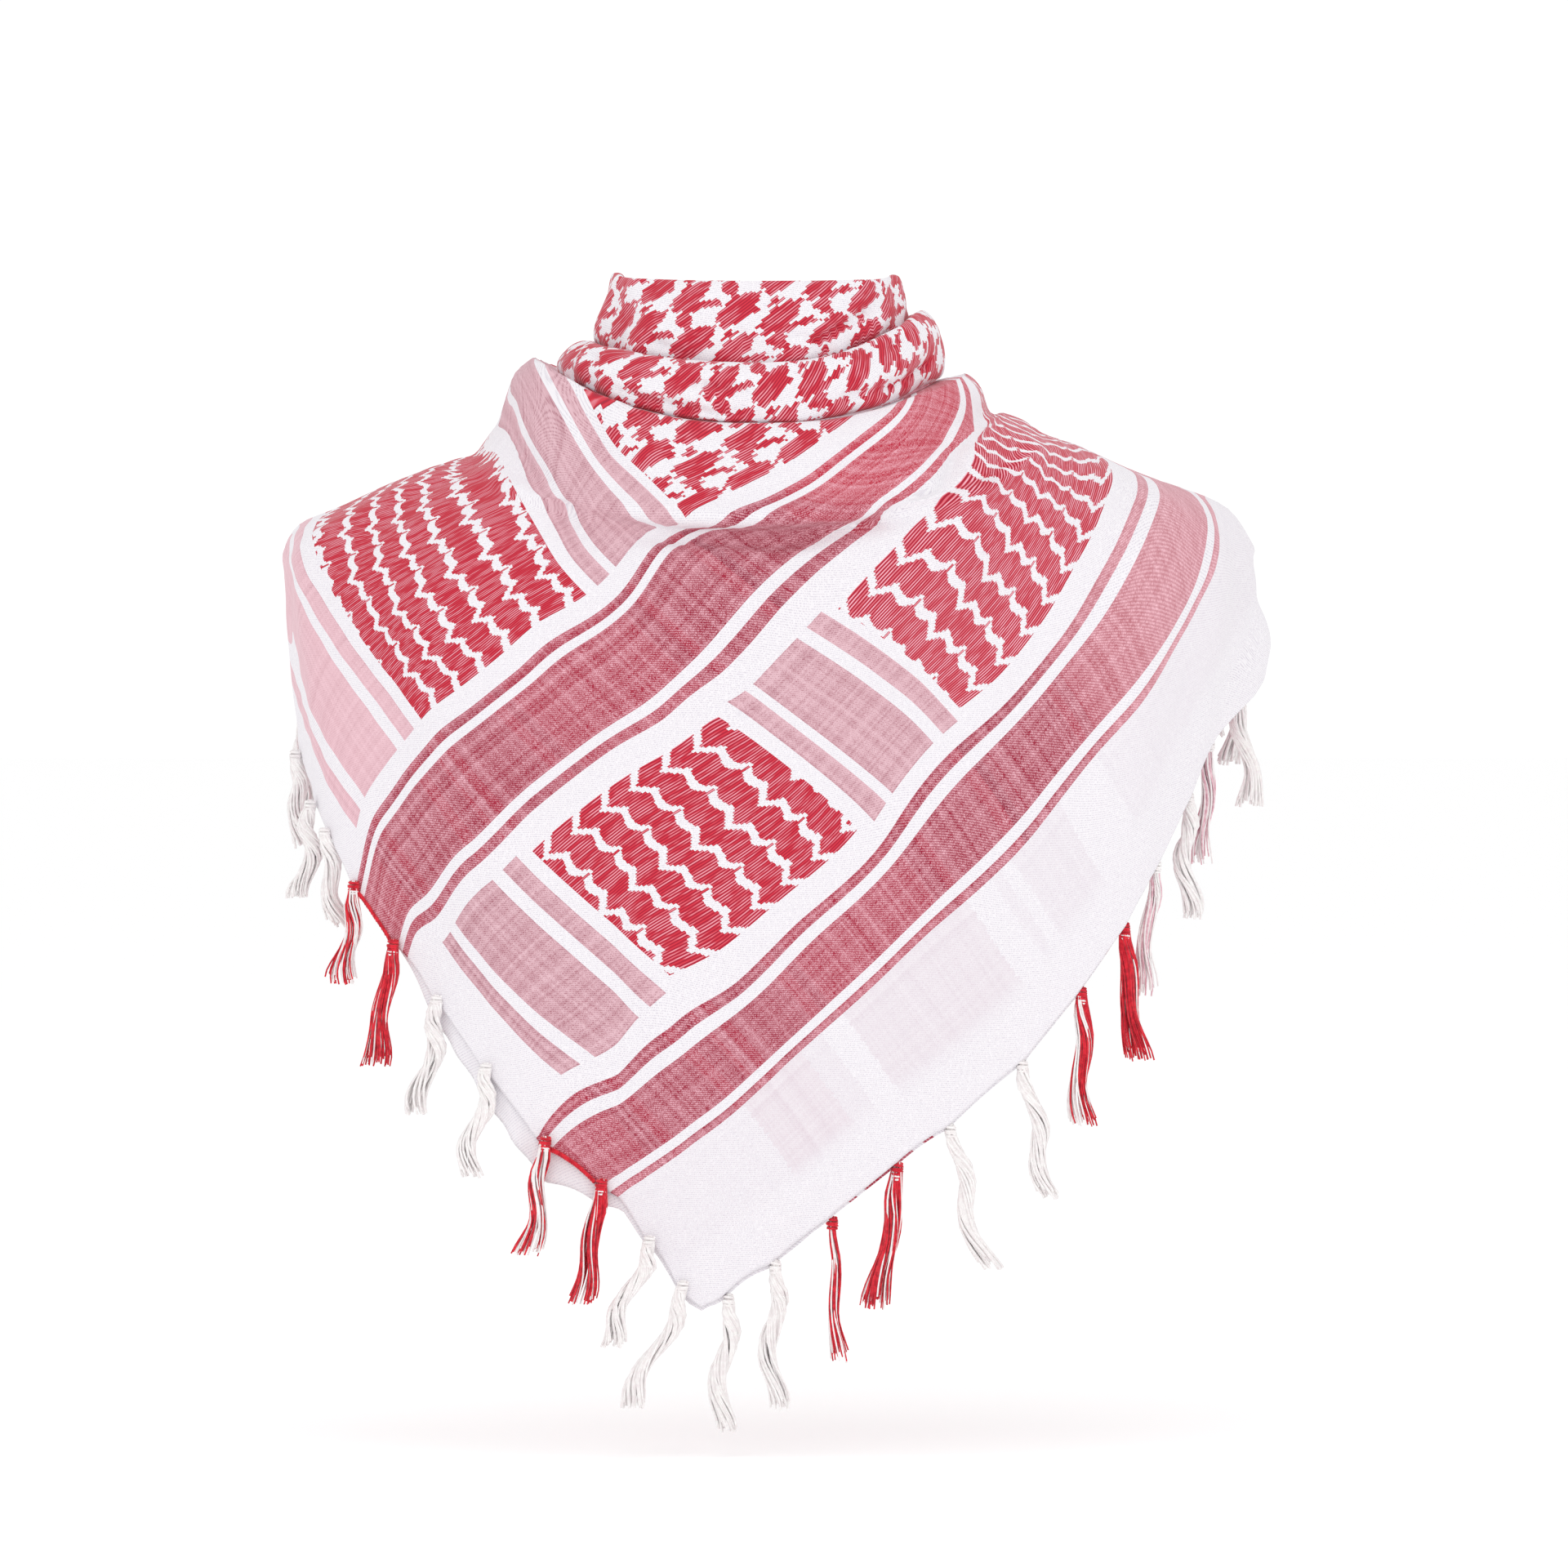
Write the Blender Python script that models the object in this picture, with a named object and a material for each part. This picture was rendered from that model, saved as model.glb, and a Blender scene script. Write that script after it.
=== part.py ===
# Fringed scarf: a square checked cloth folded corner to corner and worn round a neck.
# Metres, +Z up, front of the wearer towards -Y, Z = 0 at the base of the neck.
import math

import bmesh
import bpy
from mathutils import Vector

for old in list(bpy.data.objects):
    bpy.data.objects.remove(old, do_unlink=True)

# Driving dimensions
WALL = 0.0015           # cloth wall of the drape
ROLL_WALL = 0.0020      # gathered cloth of the two neck rolls
SEAM_GAP = 0.0004       # air left between neighbouring pieces
ROUNDNESS = 2.4         # 2 is an ellipse, more is squarer shoulders
DRAPE_COLUMNS = 54      # columns of the front drape, side to side
SKIRT_ROWS = 9          # rows from the shoulder turn down to the hem
ROLL_COLUMNS = 56       # columns round each neck roll
ROLL_PLEAT = 0.0012     # depth of the slanting gathers in the rolls
DRAPE_SIDE = 112.0      # angle where the front drape meets each back tail, degrees
TIP_ANGLE = -5.3        # angle of the chest point, degrees, wearer's right of centre
TAIL_COLUMNS = 9        # columns of each back tail
LAP_LIFT = 0.0045       # how far the lapping tail stands off the tail below it
UNDER_ROWS = 2          # rows of the drape that the under layer's strip lies behind
CHEST_POINT = -0.429    # height of the chest point's hem

# Rings of one neck roll, from its hidden inner edge over the roll to its lower tuck.
# Columns: half width left, half width right, depth front, depth back,
# height front, height left, height right, height back.
TOP_ROLL_RINGS = [
    (0.0680, 0.0630, 0.0620, 0.0600, 0.058, 0.062, 0.062, 0.062),
    (0.0700, 0.0650, 0.0650, 0.0630, 0.076, 0.080, 0.079, 0.080),
    (0.0730, 0.0680, 0.0690, 0.0670, 0.0862, 0.0895, 0.0885, 0.0900),
    (0.0755, 0.0700, 0.0720, 0.0690, 0.0882, 0.0912, 0.0905, 0.0920),
    (0.0775, 0.0725, 0.0755, 0.0715, 0.082, 0.084, 0.084, 0.086),
    (0.0800, 0.0740, 0.0780, 0.0740, 0.072, 0.075, 0.077, 0.077),
    (0.0828, 0.0755, 0.0805, 0.0760, 0.060, 0.067, 0.071, 0.068),
    (0.0834, 0.0760, 0.0812, 0.0762, 0.048, 0.060, 0.066, 0.060),
    (0.0800, 0.0738, 0.0785, 0.0745, 0.041, 0.054, 0.061, 0.054),
]
MIDDLE_ROLL_RINGS = [
    (0.0820, 0.0755, 0.0800, 0.0765, 0.036, 0.049, 0.058, 0.052),
    (0.0860, 0.0790, 0.0830, 0.0785, 0.0455, 0.0575, 0.0715, 0.063),
    (0.0890, 0.0835, 0.0865, 0.0815, 0.0470, 0.0600, 0.0755, 0.066),
    (0.0955, 0.0900, 0.0915, 0.0865, 0.042, 0.0575, 0.0700, 0.060),
    (0.1015, 0.0940, 0.0940, 0.0900, 0.032, 0.050, 0.057, 0.049),
    (0.1010, 0.0940, 0.0928, 0.0895, 0.0205, 0.0435, 0.046, 0.040),
    (0.0970, 0.0910, 0.0890, 0.0860, 0.0168, 0.0400, 0.041, 0.036),
    (0.0900, 0.0860, 0.0840, 0.0815, 0.0180, 0.0400, 0.041, 0.037),
]

# Rings of the drape, from the edge tucked under the rolls out over the shoulders.
# Columns as for the rolls. The cowl's swag is the fold and tuck in the middle rows.
DRAPE_RINGS = [
    (0.0965, 0.0905, 0.0865, 0.0860, 0.0158, 0.0388, 0.0398, 0.0350),
    (0.1120, 0.1030, 0.0925, 0.0925, 0.0165, 0.0490, 0.0425, 0.0380),
    (0.1150, 0.1065, 0.0955, 0.0945, 0.0140, 0.0495, 0.0425, 0.0370),
    (0.1225, 0.1125, 0.0998, 0.0970, 0.0070, 0.0400, 0.0360, 0.0290),
    (0.1310, 0.1170, 0.1045, 0.0990, -0.0040, 0.0240, 0.0235, 0.0210),
    (0.1380, 0.1240, 0.1090, 0.1005, -0.0130, 0.0140, 0.0225, 0.0130),
    (0.1455, 0.1330, 0.1130, 0.1020, -0.0220, 0.0025, 0.0180, 0.0060),
    (0.1550, 0.1450, 0.1165, 0.1035, -0.0310, -0.0005, 0.0125, 0.0000),
    (0.1620, 0.1530, 0.1140, 0.1040, -0.0375, -0.0030, 0.0095, -0.0050),
    (0.1710, 0.1640, 0.1130, 0.1048, -0.0450, -0.0060, 0.0055, -0.0090),
    (0.1925, 0.1880, 0.1150, 0.1056, -0.0580, -0.0145, -0.0060, -0.0140),
    (0.2150, 0.2120, 0.1185, 0.1066, -0.0750, -0.0255, -0.0145, -0.0190),
    (0.2330, 0.2360, 0.1210, 0.1075, -0.0920, -0.0340, -0.0255, -0.0240),
    (0.2410, 0.2475, 0.1230, 0.1080, -0.1100, -0.0470, -0.0430, -0.0290),
]
COWL_TUCK_ROW = 8       # ring that the swag pulls in under the cowl
COWL_TUCK = 0.0060      # how far it is pulled in at the deepest place

# Body levels below the shoulders.
# Columns: height, half width left, half width right, depth front, depth back.
BODY_LEVELS = [
    (-0.020, 0.2410, 0.2480, 0.1160, 0.1060),
    (-0.046, 0.2410, 0.2480, 0.1190, 0.1070),
    (-0.080, 0.2390, 0.2500, 0.1220, 0.1080),
    (-0.165, 0.2300, 0.2370, 0.1270, 0.1100),
    (-0.300, 0.2210, 0.2290, 0.1270, 0.1100),
    (-0.450, 0.2090, 0.2190, 0.1210, 0.1100),
]

# Hem of the drape round the body. Columns: angle in degrees, height.
HEM_LINE = [
    (-200, -0.045), (-180, -0.045), (-160, -0.052), (-140, -0.070), (-120, -0.096),
    (-105, -0.121), (-90, -0.150), (-75, -0.181), (-68, -0.191), (-60, -0.219),
    (-54, -0.240), (-43, -0.276), (-34, -0.307), (-25, -0.346), (-15, -0.372),
    (TIP_ANGLE, CHEST_POINT), (6, -0.379), (14, -0.351), (21, -0.333), (32, -0.300),
    (40, -0.266), (50, -0.225), (63, -0.177), (75, -0.142), (90, -0.110),
    (105, -0.088), (120, -0.074), (140, -0.058), (160, -0.048), (180, -0.045),
    (200, -0.045),
]

# How far the under layer hangs below the outer hem. Columns: angle in degrees, drop.
UNDER_DROP = [
    (-180, 0.001), (-52, 0.001), (-45, 0.012), (-38, 0.016), (-30, 0.020),
    (-24, 0.016), (-18, 0.010), (-12, 0.004), (-5.3, 0.002), (180, 0.002),
]

# Long soft folds of the drape, hanging from the neck.
# Columns: angle at the top, angle at the hem, half breadth in degrees, height of the fold.
DRAPE_FOLDS = [
    (-78, -66, 7, 0.0035), (-58, -47, 8, -0.0030), (-36, -30, 9, 0.0025),
    (-14, -18, 8, -0.0018), (14, 8, 8, 0.0022), (38, 27, 8, -0.0025),
    (58, 46, 8, 0.0032), (84, 74, 7, -0.0035), (98, 90, 6, 0.0045), (-98, -92, 7, 0.0030),
]

# Tassels of each hem, from the chest point to the nape.
# Columns: hem angle, end to one side, drop of the end, colour.
LEFT_TASSELS = [
    (-7.4, -0.0230, 0.064, "white"), (-11.2, -0.0200, 0.056, "white"),
    (-17.4, -0.0110, 0.063, "red"), (-25.0, -0.0150, 0.060, "red"),
    (-33.6, -0.0090, 0.058, "white"), (-43.2, -0.0110, 0.060, "white"),
    (-51.6, -0.0100, 0.064, "red"), (-60.0, -0.0100, 0.052, "red"),
    (-68.0, 0.0050, 0.050, "white"), (-76.0, 0.0000, 0.050, "white"),
    (-88.0, 0.0020, 0.052, "white"), (-99.0, -0.0020, 0.052, "white"),
    (-109.5, 0.0, 0.056, "white"), (-121.0, 0.0, 0.056, "white"),
    (-132.0, 0.0, 0.056, "white"), (-143.0, 0.0, 0.056, "white"),
    (-154.0, 0.0, 0.056, "white"), (-164.0, 0.0, 0.056, "white"),
]
RIGHT_TASSELS = [
    (-2.6, -0.0040, 0.067, "white"), (1.2, -0.0050, 0.072, "white"),
    (6.4, -0.0010, 0.071, "white"), (14.2, -0.0100, 0.071, "red"),
    (21.0, 0.0140, 0.070, "white"), (31.6, 0.0120, 0.067, "white"),
    (40.4, 0.0010, 0.067, "red"), (48.2, 0.0110, 0.067, "red"),
    (56.2, -0.0030, 0.066, "white"), (66.0, 0.0010, 0.062, "white"),
    (75.0, 0.0010, 0.061, "white"), (86.0, 0.0060, 0.056, "white"),
    (98.0, 0.0, 0.056, "white"), (109.0, 0.0, 0.056, "white"),
    (121.0, 0.0, 0.056, "white"), (132.0, 0.0, 0.056, "white"),
    (143.0, 0.0, 0.056, "white"), (154.0, 0.0, 0.056, "white"),
    (165.0, 0.0, 0.056, "white"), (176.0, 0.0, 0.056, "white"),
]
HEAD_RADIUS = 0.0030    # knot at the top of a tassel
HEAD_HEIGHT = 0.0080
LOCK_SEGMENTS = 3
LOCK_SPREAD = 0.0032    # how far the locks fan out at their ends


# Small helpers for the tables
def smooth(t):
    t = min(max(t, 0.0), 1.0)
    return t * t * (3 - 2 * t)


def look_up(table, key, column=1):
    """Value of a table's column at a key in its first column, eased between rows."""
    if key <= table[0][0]:
        return table[0][column]
    for low, high in zip(table, table[1:]):
        if key <= high[0]:
            t = (key - low[0]) / (high[0] - low[0])
            return low[column] + (high[column] - low[column]) * t
    return table[-1][column]


def falling(key, table):
    """Body level at a height, for a table whose heights fall."""
    if key >= table[0][0]:
        return table[0][1:]
    for high, low in zip(table, table[1:]):
        if key >= low[0]:
            t = (high[0] - key) / (high[0] - low[0])
            return [a + (b - a) * t for a, b in zip(high[1:], low[1:])]
    return table[-1][1:]


def around(angle, left, right, front, back):
    """Point of a squared oval at an angle from the front, in plan."""
    power = 2 / ROUNDNESS
    s, c = math.sin(math.radians(angle)), math.cos(math.radians(angle))
    width = left if s < 0 else right
    depth = front if c > 0 else back
    x = width * math.copysign(abs(s) ** power, s)
    y = -depth * math.copysign(abs(c) ** power, c)
    return x, y


def ring_height(angle, front, left, right, back):
    s, c = math.sin(math.radians(angle)), math.cos(math.radians(angle))
    side = left if s < 0 else right
    end = front if c > 0 else back
    return end + (side - end) * s * s


def ring_point(angle, ring):
    left, right, front, back, z_front, z_left, z_right, z_back = ring
    x, y = around(angle, left, right, front, back)
    return Vector((x, y, ring_height(angle, z_front, z_left, z_right, z_back)))


def hem_height(angle):
    return look_up(HEM_LINE, angle)


# Shape of the drape
def cowl_weight(angle):
    """One where the cowl swags over the chest, none at the left of the neck."""
    return smooth((angle + 48) / 40) * smooth((88 - angle) / 35)


def drape_ring_point(angle, row):
    point = ring_point(angle, DRAPE_RINGS[row])
    if row == COWL_TUCK_ROW:
        pull = COWL_TUCK * cowl_weight(angle)
        flat = Vector((point.x, point.y, 0))
        point -= flat.normalized() * pull
    return point


def body_point(angle, height):
    x, y = around(angle, *falling(height, BODY_LEVELS))
    return Vector((x, y, height))


def skirt_point(angle, height):
    """Point of the hanging part at a height; it leaves the shoulder turn smoothly."""
    turn = ring_point(angle, DRAPE_RINGS[-1])
    start = body_point(angle, turn.z)
    hem = hem_height(angle)
    t = (turn.z - height) / max(turn.z - hem, 0.02)
    ease = max(1 - t, 0.0) ** 2
    return body_point(angle, height) + (turn - start) * ease


def fold_lift(angle, down):
    """Height of the long folds at an angle; down is 0 at the neck and 1 at the hem."""
    lift = 0.0
    for top, bottom, breadth, height in DRAPE_FOLDS:
        middle = top + (bottom - top) * down
        away = (angle - middle) / breadth
        lift += height * math.exp(-away * away)
    return lift * smooth((down - 0.25) / 0.45)


def drape_point(angle, row):
    """Outer face of the drape; rows run from the tucked edge down to the hem."""
    rings = len(DRAPE_RINGS)
    rows = rings + SKIRT_ROWS
    if row < rings:
        point = drape_ring_point(angle, row)
    else:
        turn = ring_point(angle, DRAPE_RINGS[-1]).z
        t = (row - rings + 1) / SKIRT_ROWS
        point = skirt_point(angle, turn + (hem_height(angle) - turn) * t)
    out = Vector((point.x, point.y, 0)).normalized()
    return point + out * fold_lift(angle, row / (rows - 1))


# Meshes
def sheet_from(points, wall, closed):
    """Closed wall behind a grid of outer points; each inner list is one column."""
    mesh = bmesh.new()
    grid = [[mesh.verts.new(p) for p in column] for column in points]
    pairs = list(zip(grid, grid[1:]))
    if closed:
        pairs.append((grid[-1], grid[0]))
    for one, two in pairs:
        for i in range(len(one) - 1):
            mesh.faces.new((one[i], one[i + 1], two[i + 1], two[i]))
    mesh.normal_update()
    inner = [[v.co - v.normal * wall for v in column] for column in grid]
    inner = [[mesh.verts.new(p) for p in column] for column in inner]
    pairs = list(zip(grid, grid[1:], inner, inner[1:]))
    if closed:
        pairs.append((grid[-1], grid[0], inner[-1], inner[0]))
    for one, two, one_in, two_in in pairs:
        for i in range(len(one) - 1):
            mesh.faces.new((two_in[i], two_in[i + 1], one_in[i + 1], one_in[i]))
        mesh.faces.new((one[0], two[0], two_in[0], one_in[0]))
        mesh.faces.new((two[-1], one[-1], one_in[-1], two_in[-1]))
    if not closed:
        for column, column_in, first in ((grid[0], inner[0], True), (grid[-1], inner[-1], False)):
            for i in range(len(column) - 1):
                face = (column[i + 1], column[i], column_in[i], column_in[i + 1])
                mesh.faces.new(face if first else face[::-1])
    bmesh.ops.triangulate(mesh, faces=mesh.faces[:])
    return mesh


def material(name, colour, roughness):
    made = bpy.data.materials.new(name)
    made.use_nodes = True
    shader = made.node_tree.nodes["Principled BSDF"]
    shader.inputs["Base Color"].default_value = (*colour, 1)
    shader.inputs["Roughness"].default_value = roughness
    shader.inputs["Sheen Weight"].default_value = 0.2
    return made


def add_object(name, mesh, look):
    bmesh.ops.recalc_face_normals(mesh, faces=mesh.faces[:])
    if mesh.calc_volume(signed=True) < 0:
        bmesh.ops.reverse_faces(mesh, faces=mesh.faces[:])
    data = bpy.data.meshes.new(name)
    mesh.to_mesh(data)
    mesh.free()
    data.materials.append(look)
    made = bpy.data.objects.new(name, data)
    bpy.context.scene.collection.objects.link(made)
    print(name, len(data.polygons), "faces")


# Neck rolls
def roll_points(rings, slant, twist):
    """Columns of points round a roll, with slanting gathers."""
    columns = []
    for i in range(ROLL_COLUMNS):
        angle = -180 + 360 * i / ROLL_COLUMNS
        column = []
        for row, ring in enumerate(rings):
            point = ring_point(angle, ring)
            out = Vector((point.x, point.y, 0)).normalized()
            wave = math.sin(math.radians(angle * slant) + row * twist)
            wave += 0.6 * math.sin(math.radians(angle * (slant + 4)) - row * twist * 0.7 + 1.3)
            inside = 0 < row < len(rings) - 1
            column.append(point + out * ROLL_PLEAT * 0.5 * wave * (1 if inside else 0))
        columns.append(column)
    return columns


add_object("neck_roll_top", sheet_from(roll_points(TOP_ROLL_RINGS, 7, 0.9), ROLL_WALL, True),
           material("cloth_roll_top", (0.78, 0.36, 0.40), 0.9))
add_object("neck_roll_middle",
           sheet_from(roll_points(MIDDLE_ROLL_RINGS, 9, -0.8), ROLL_WALL, True),
           material("cloth_roll_middle", (0.76, 0.33, 0.38), 0.9))


# Front drape, with one column exactly at the chest point
def front_angles():
    left = round(DRAPE_COLUMNS * (DRAPE_SIDE + TIP_ANGLE) / (2 * DRAPE_SIDE))
    right = DRAPE_COLUMNS - left
    angles = [-DRAPE_SIDE + (DRAPE_SIDE + TIP_ANGLE) * i / left for i in range(left)]
    angles += [TIP_ANGLE + (DRAPE_SIDE - TIP_ANGLE) * i / right for i in range(right + 1)]
    return angles


rows_all = len(DRAPE_RINGS) + SKIRT_ROWS
drape = [[drape_point(a, r) for r in range(rows_all)] for a in front_angles()]
add_object("front_drape", sheet_from(drape, WALL, False),
           material("cloth_drape", (0.82, 0.45, 0.50), 0.9))


# Back tails, the left one lapping over the right one at the nape
def along(column, place):
    """Point at a row number that may lie between two rows."""
    row = min(int(place), len(column) - 2)
    return column[row].lerp(column[row + 1], place - row)


def tail_points(side, start, end, lift):
    columns = []
    for i in range(TAIL_COLUMNS + 1):
        angle = side * (start + (end - start) * i / TAIL_COLUMNS)
        column = [drape_point(angle, r) for r in range(rows_all)]
        raised = lift * smooth((abs(angle) - 140) / 22)
        for row in (0, 1):
            level = column[2] + Vector((0, 0, 0.0016 * (2 - row)))
            column[row] = column[row].lerp(level, raised / LAP_LIFT)
        middle = (rows_all - 1) / 2
        kept = 1 - 0.4 * smooth((abs(angle) - 158) / 40)
        shown = [along(column, middle + (row - middle) * kept) for row in range(rows_all)]
        for j, point in enumerate(shown):
            out = Vector((point.x, point.y, 0)).normalized()
            shown[j] = point + out * raised
        columns.append(shown)
    return columns


gap_angle = math.degrees(2 * SEAM_GAP / 0.2)
back_look = material("cloth_tails", (0.80, 0.42, 0.47), 0.9)
left_tail = tail_points(-1, DRAPE_SIDE + gap_angle, 196, LAP_LIFT)
right_tail = tail_points(1, DRAPE_SIDE + gap_angle, 192, 0.0)
add_object("left_tail", sheet_from(left_tail[::-1], WALL, False), back_look)
add_object("right_tail", sheet_from(right_tail, WALL, False), back_look)


# Under layer of the folded square, a strip along the hem behind the drape
def grid_normals(points):
    """Outward normals of a grid of points, as its wall is built with."""
    mesh = bmesh.new()
    grid = [[mesh.verts.new(p) for p in column] for column in points]
    for one, two in zip(grid, grid[1:]):
        for i in range(len(one) - 1):
            mesh.faces.new((one[i], one[i + 1], two[i + 1], two[i]))
    mesh.normal_update()
    normals = [[v.normal.copy() for v in column] for column in grid]
    mesh.free()
    return normals


def below_hem(column, drop):
    """Point that carries a column on below its hem."""
    along = (column[-1] - column[-2]).normalized()
    return column[-1] + along * drop / max(-along.z, 0.5)


def under_point(column, normals, row, angle):
    point = column[row] - normals[row] * (WALL + SEAM_GAP)
    if row == len(column) - 1:
        point = below_hem([column[-2] - normals[-2] * (WALL + SEAM_GAP), point],
                          look_up(UNDER_DROP, angle))
    return point


strip = []
for angle, column, normals in zip(front_angles(), drape, grid_normals(drape)):
    last = len(column) - 1
    strip.append([under_point(column, normals, row, angle)
                  for row in range(last - UNDER_ROWS, last + 1)])
add_object("under_layer_hem", sheet_from(strip, WALL, False),
           material("cloth_under_layer", (0.90, 0.86, 0.88), 0.9))


# Tassels: a knotted head, with each face of its underside drawn out into one lock
def tassel(root, lean, drop, phase):
    mesh = bmesh.new()
    bmesh.ops.create_cone(mesh, cap_ends=True, cap_tris=False, segments=6,
                          radius1=HEAD_RADIUS, radius2=0.0008, depth=HEAD_HEIGHT)
    bmesh.ops.translate(mesh, verts=mesh.verts[:], vec=(0, 0, -HEAD_HEIGHT / 2))
    under = min(mesh.faces, key=lambda face: face.calc_center_median().z)
    bmesh.ops.poke(mesh, faces=[under])
    roots = [face for face in mesh.faces if face.normal.z < -0.9]
    for face in roots:
        face.select = True
    made = bmesh.ops.inset_individual(mesh, faces=roots, thickness=0.00024)
    tips = [face for face in mesh.faces if face.normal.z < -0.9 and face not in made["faces"]]
    seats = [face.calc_center_median().copy() for face in tips]
    for step in range(1, LOCK_SEGMENTS + 1):
        made = bmesh.ops.extrude_discrete_faces(mesh, faces=tips)
        tips = made["faces"]
        t = step / LOCK_SEGMENTS
        for number, (face, seat) in enumerate(zip(tips, seats)):
            turn = phase + 2 * math.pi * number / 6
            fan = Vector((seat.x, seat.y, 0)).normalized() * LOCK_SPREAD * t
            wander = Vector((math.cos(turn * 2.3), math.sin(turn * 1.7), 0)) * 0.0012 * t
            length = (drop - HEAD_HEIGHT) * (1 - 0.05 * (number % 3) * t)
            sway = lean * (t ** 1.3) + fan + wander
            centre = seat + sway + Vector((0, 0, -length * t))
            shift = centre - face.calc_center_median()
            for vert in face.verts:
                vert.co += shift
            narrow = 1 - 0.12 * t
            for vert in face.verts:
                vert.co = centre + (vert.co - centre) * narrow
    bmesh.ops.translate(mesh, verts=mesh.verts[:], vec=root)
    bmesh.ops.triangulate(mesh, faces=mesh.faces[:])
    return mesh


front_columns = list(zip(front_angles(), drape, grid_normals(drape)))


def front_edge(angle, side):
    """Lower edge of a front layer between its two columns beside an angle, and its slope."""
    i = max(k for k in range(len(front_columns) - 1) if front_columns[k][0] <= angle)
    ends, normals = [], []
    for at, column, column_normals in front_columns[i:i + 2]:
        last = rows_all - 1
        edge = under_point(column, column_normals, last, at) if side > 0 else column[last]
        ends.append(edge)
        normals.append(column_normals[last])
    t = (angle - front_columns[i][0]) / (front_columns[i + 1][0] - front_columns[i][0])
    return ends[0].lerp(ends[1], t), normals[0].lerp(normals[1], t), ends[1] - ends[0]


def tail_edge(angle, side):
    """Lower edge of a back tail at an angle, and its slope."""
    start = abs(angle) - 1
    near = tail_points(side, start, start + TAIL_COLUMNS, LAP_LIFT if side < 0 else 0)
    normals = grid_normals(near if side > 0 else near[::-1])[1 if side > 0 else -2]
    return near[1][-1], normals[-1], near[2][-1] - near[0][-1]


def hem_root(angle, side):
    """Where a tassel hangs, clear of its layer by about the seam gap."""
    if abs(angle) < DRAPE_SIDE:
        edge, normal, run = front_edge(angle, side)
        if side < 0:
            lifted = edge + normal * (HEAD_RADIUS - 0.0001)
            return lifted + Vector((0, 0, 0.75 * HEAD_HEIGHT))
    else:
        edge, normal, run = tail_edge(angle, side)
    slope = min(abs(run.z) / Vector((run.x, run.y, 0)).length, 1.2)
    drop = 1.5 * SEAM_GAP + 0.0008 * slope
    return edge - normal * WALL / 2 - Vector((0, 0, drop))


looks = {"red": material("thread_red", (0.70, 0.05, 0.08), 0.75),
         "white": material("thread_white", (0.90, 0.88, 0.89), 0.75)}
for side, name, rows in ((-1, "tassel_left", LEFT_TASSELS), (1, "tassel_right", RIGHT_TASSELS)):
    for number, (angle, sideways, drop, colour) in enumerate(rows, 1):
        root = hem_root(angle, side)
        mesh = tassel(root, Vector((sideways, -0.002, 0)), drop, angle)
        add_object(f"{name}_{number:02d}", mesh, looks[colour])
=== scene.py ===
# %% [markdown]
# # A fringed scarf worn round a neck
# One square of thin cotton, red bands and stars woven on white, is folded corner to corner.
# The fold is gathered round the neck in two rolls, and the double corner hangs on the chest.
# Tassels are knotted along the two open hems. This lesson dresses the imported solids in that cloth.
#
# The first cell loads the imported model. Everything later is measured against it.

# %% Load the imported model
import math

import bmesh
import bpy
import numpy as np
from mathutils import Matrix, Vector


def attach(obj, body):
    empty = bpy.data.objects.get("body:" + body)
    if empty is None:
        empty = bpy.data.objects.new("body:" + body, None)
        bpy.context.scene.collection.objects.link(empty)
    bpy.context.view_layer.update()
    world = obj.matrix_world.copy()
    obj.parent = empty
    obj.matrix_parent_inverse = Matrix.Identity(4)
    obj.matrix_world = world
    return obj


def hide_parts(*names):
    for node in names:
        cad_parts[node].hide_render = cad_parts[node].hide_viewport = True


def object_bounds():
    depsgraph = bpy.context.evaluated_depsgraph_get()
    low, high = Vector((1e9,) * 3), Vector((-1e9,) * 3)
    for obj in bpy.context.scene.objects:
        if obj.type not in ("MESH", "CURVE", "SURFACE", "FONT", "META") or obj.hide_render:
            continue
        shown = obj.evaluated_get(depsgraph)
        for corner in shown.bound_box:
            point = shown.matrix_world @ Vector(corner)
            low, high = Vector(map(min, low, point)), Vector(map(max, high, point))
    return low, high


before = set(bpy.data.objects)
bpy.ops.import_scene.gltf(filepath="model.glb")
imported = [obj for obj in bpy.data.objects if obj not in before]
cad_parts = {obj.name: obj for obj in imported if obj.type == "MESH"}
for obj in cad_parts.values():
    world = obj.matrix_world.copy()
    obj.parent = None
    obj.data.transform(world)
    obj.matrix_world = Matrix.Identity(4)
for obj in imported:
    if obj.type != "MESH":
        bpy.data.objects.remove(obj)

cad_box = [list(corner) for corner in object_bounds()]
print("solids reach from", np.round(cad_box[0], 3), "to", np.round(cad_box[1], 3))

# %% [markdown]
# ## Camera
# A long lens from five metres keeps the view almost parallel, as the photograph's is.
# One photographed pixel is 0.4115 mm on the object, so the square frame is 0.79 m wide.
# The camera comes first, because every place below is read off that frame.

# %% Camera at the photograph's angle
PIXEL = 0.4115e-3
FRAME_PIXELS = 1920
MIDDLE_X, NECK_Y = 930, 560
CAMERA_AWAY = 5.0


def on_object(px, py):
    """Width and height on the object, in metres, of a place in the photograph."""
    return (np.asarray(px) - MIDDLE_X) * PIXEL, (NECK_Y - np.asarray(py)) * PIXEL


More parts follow.
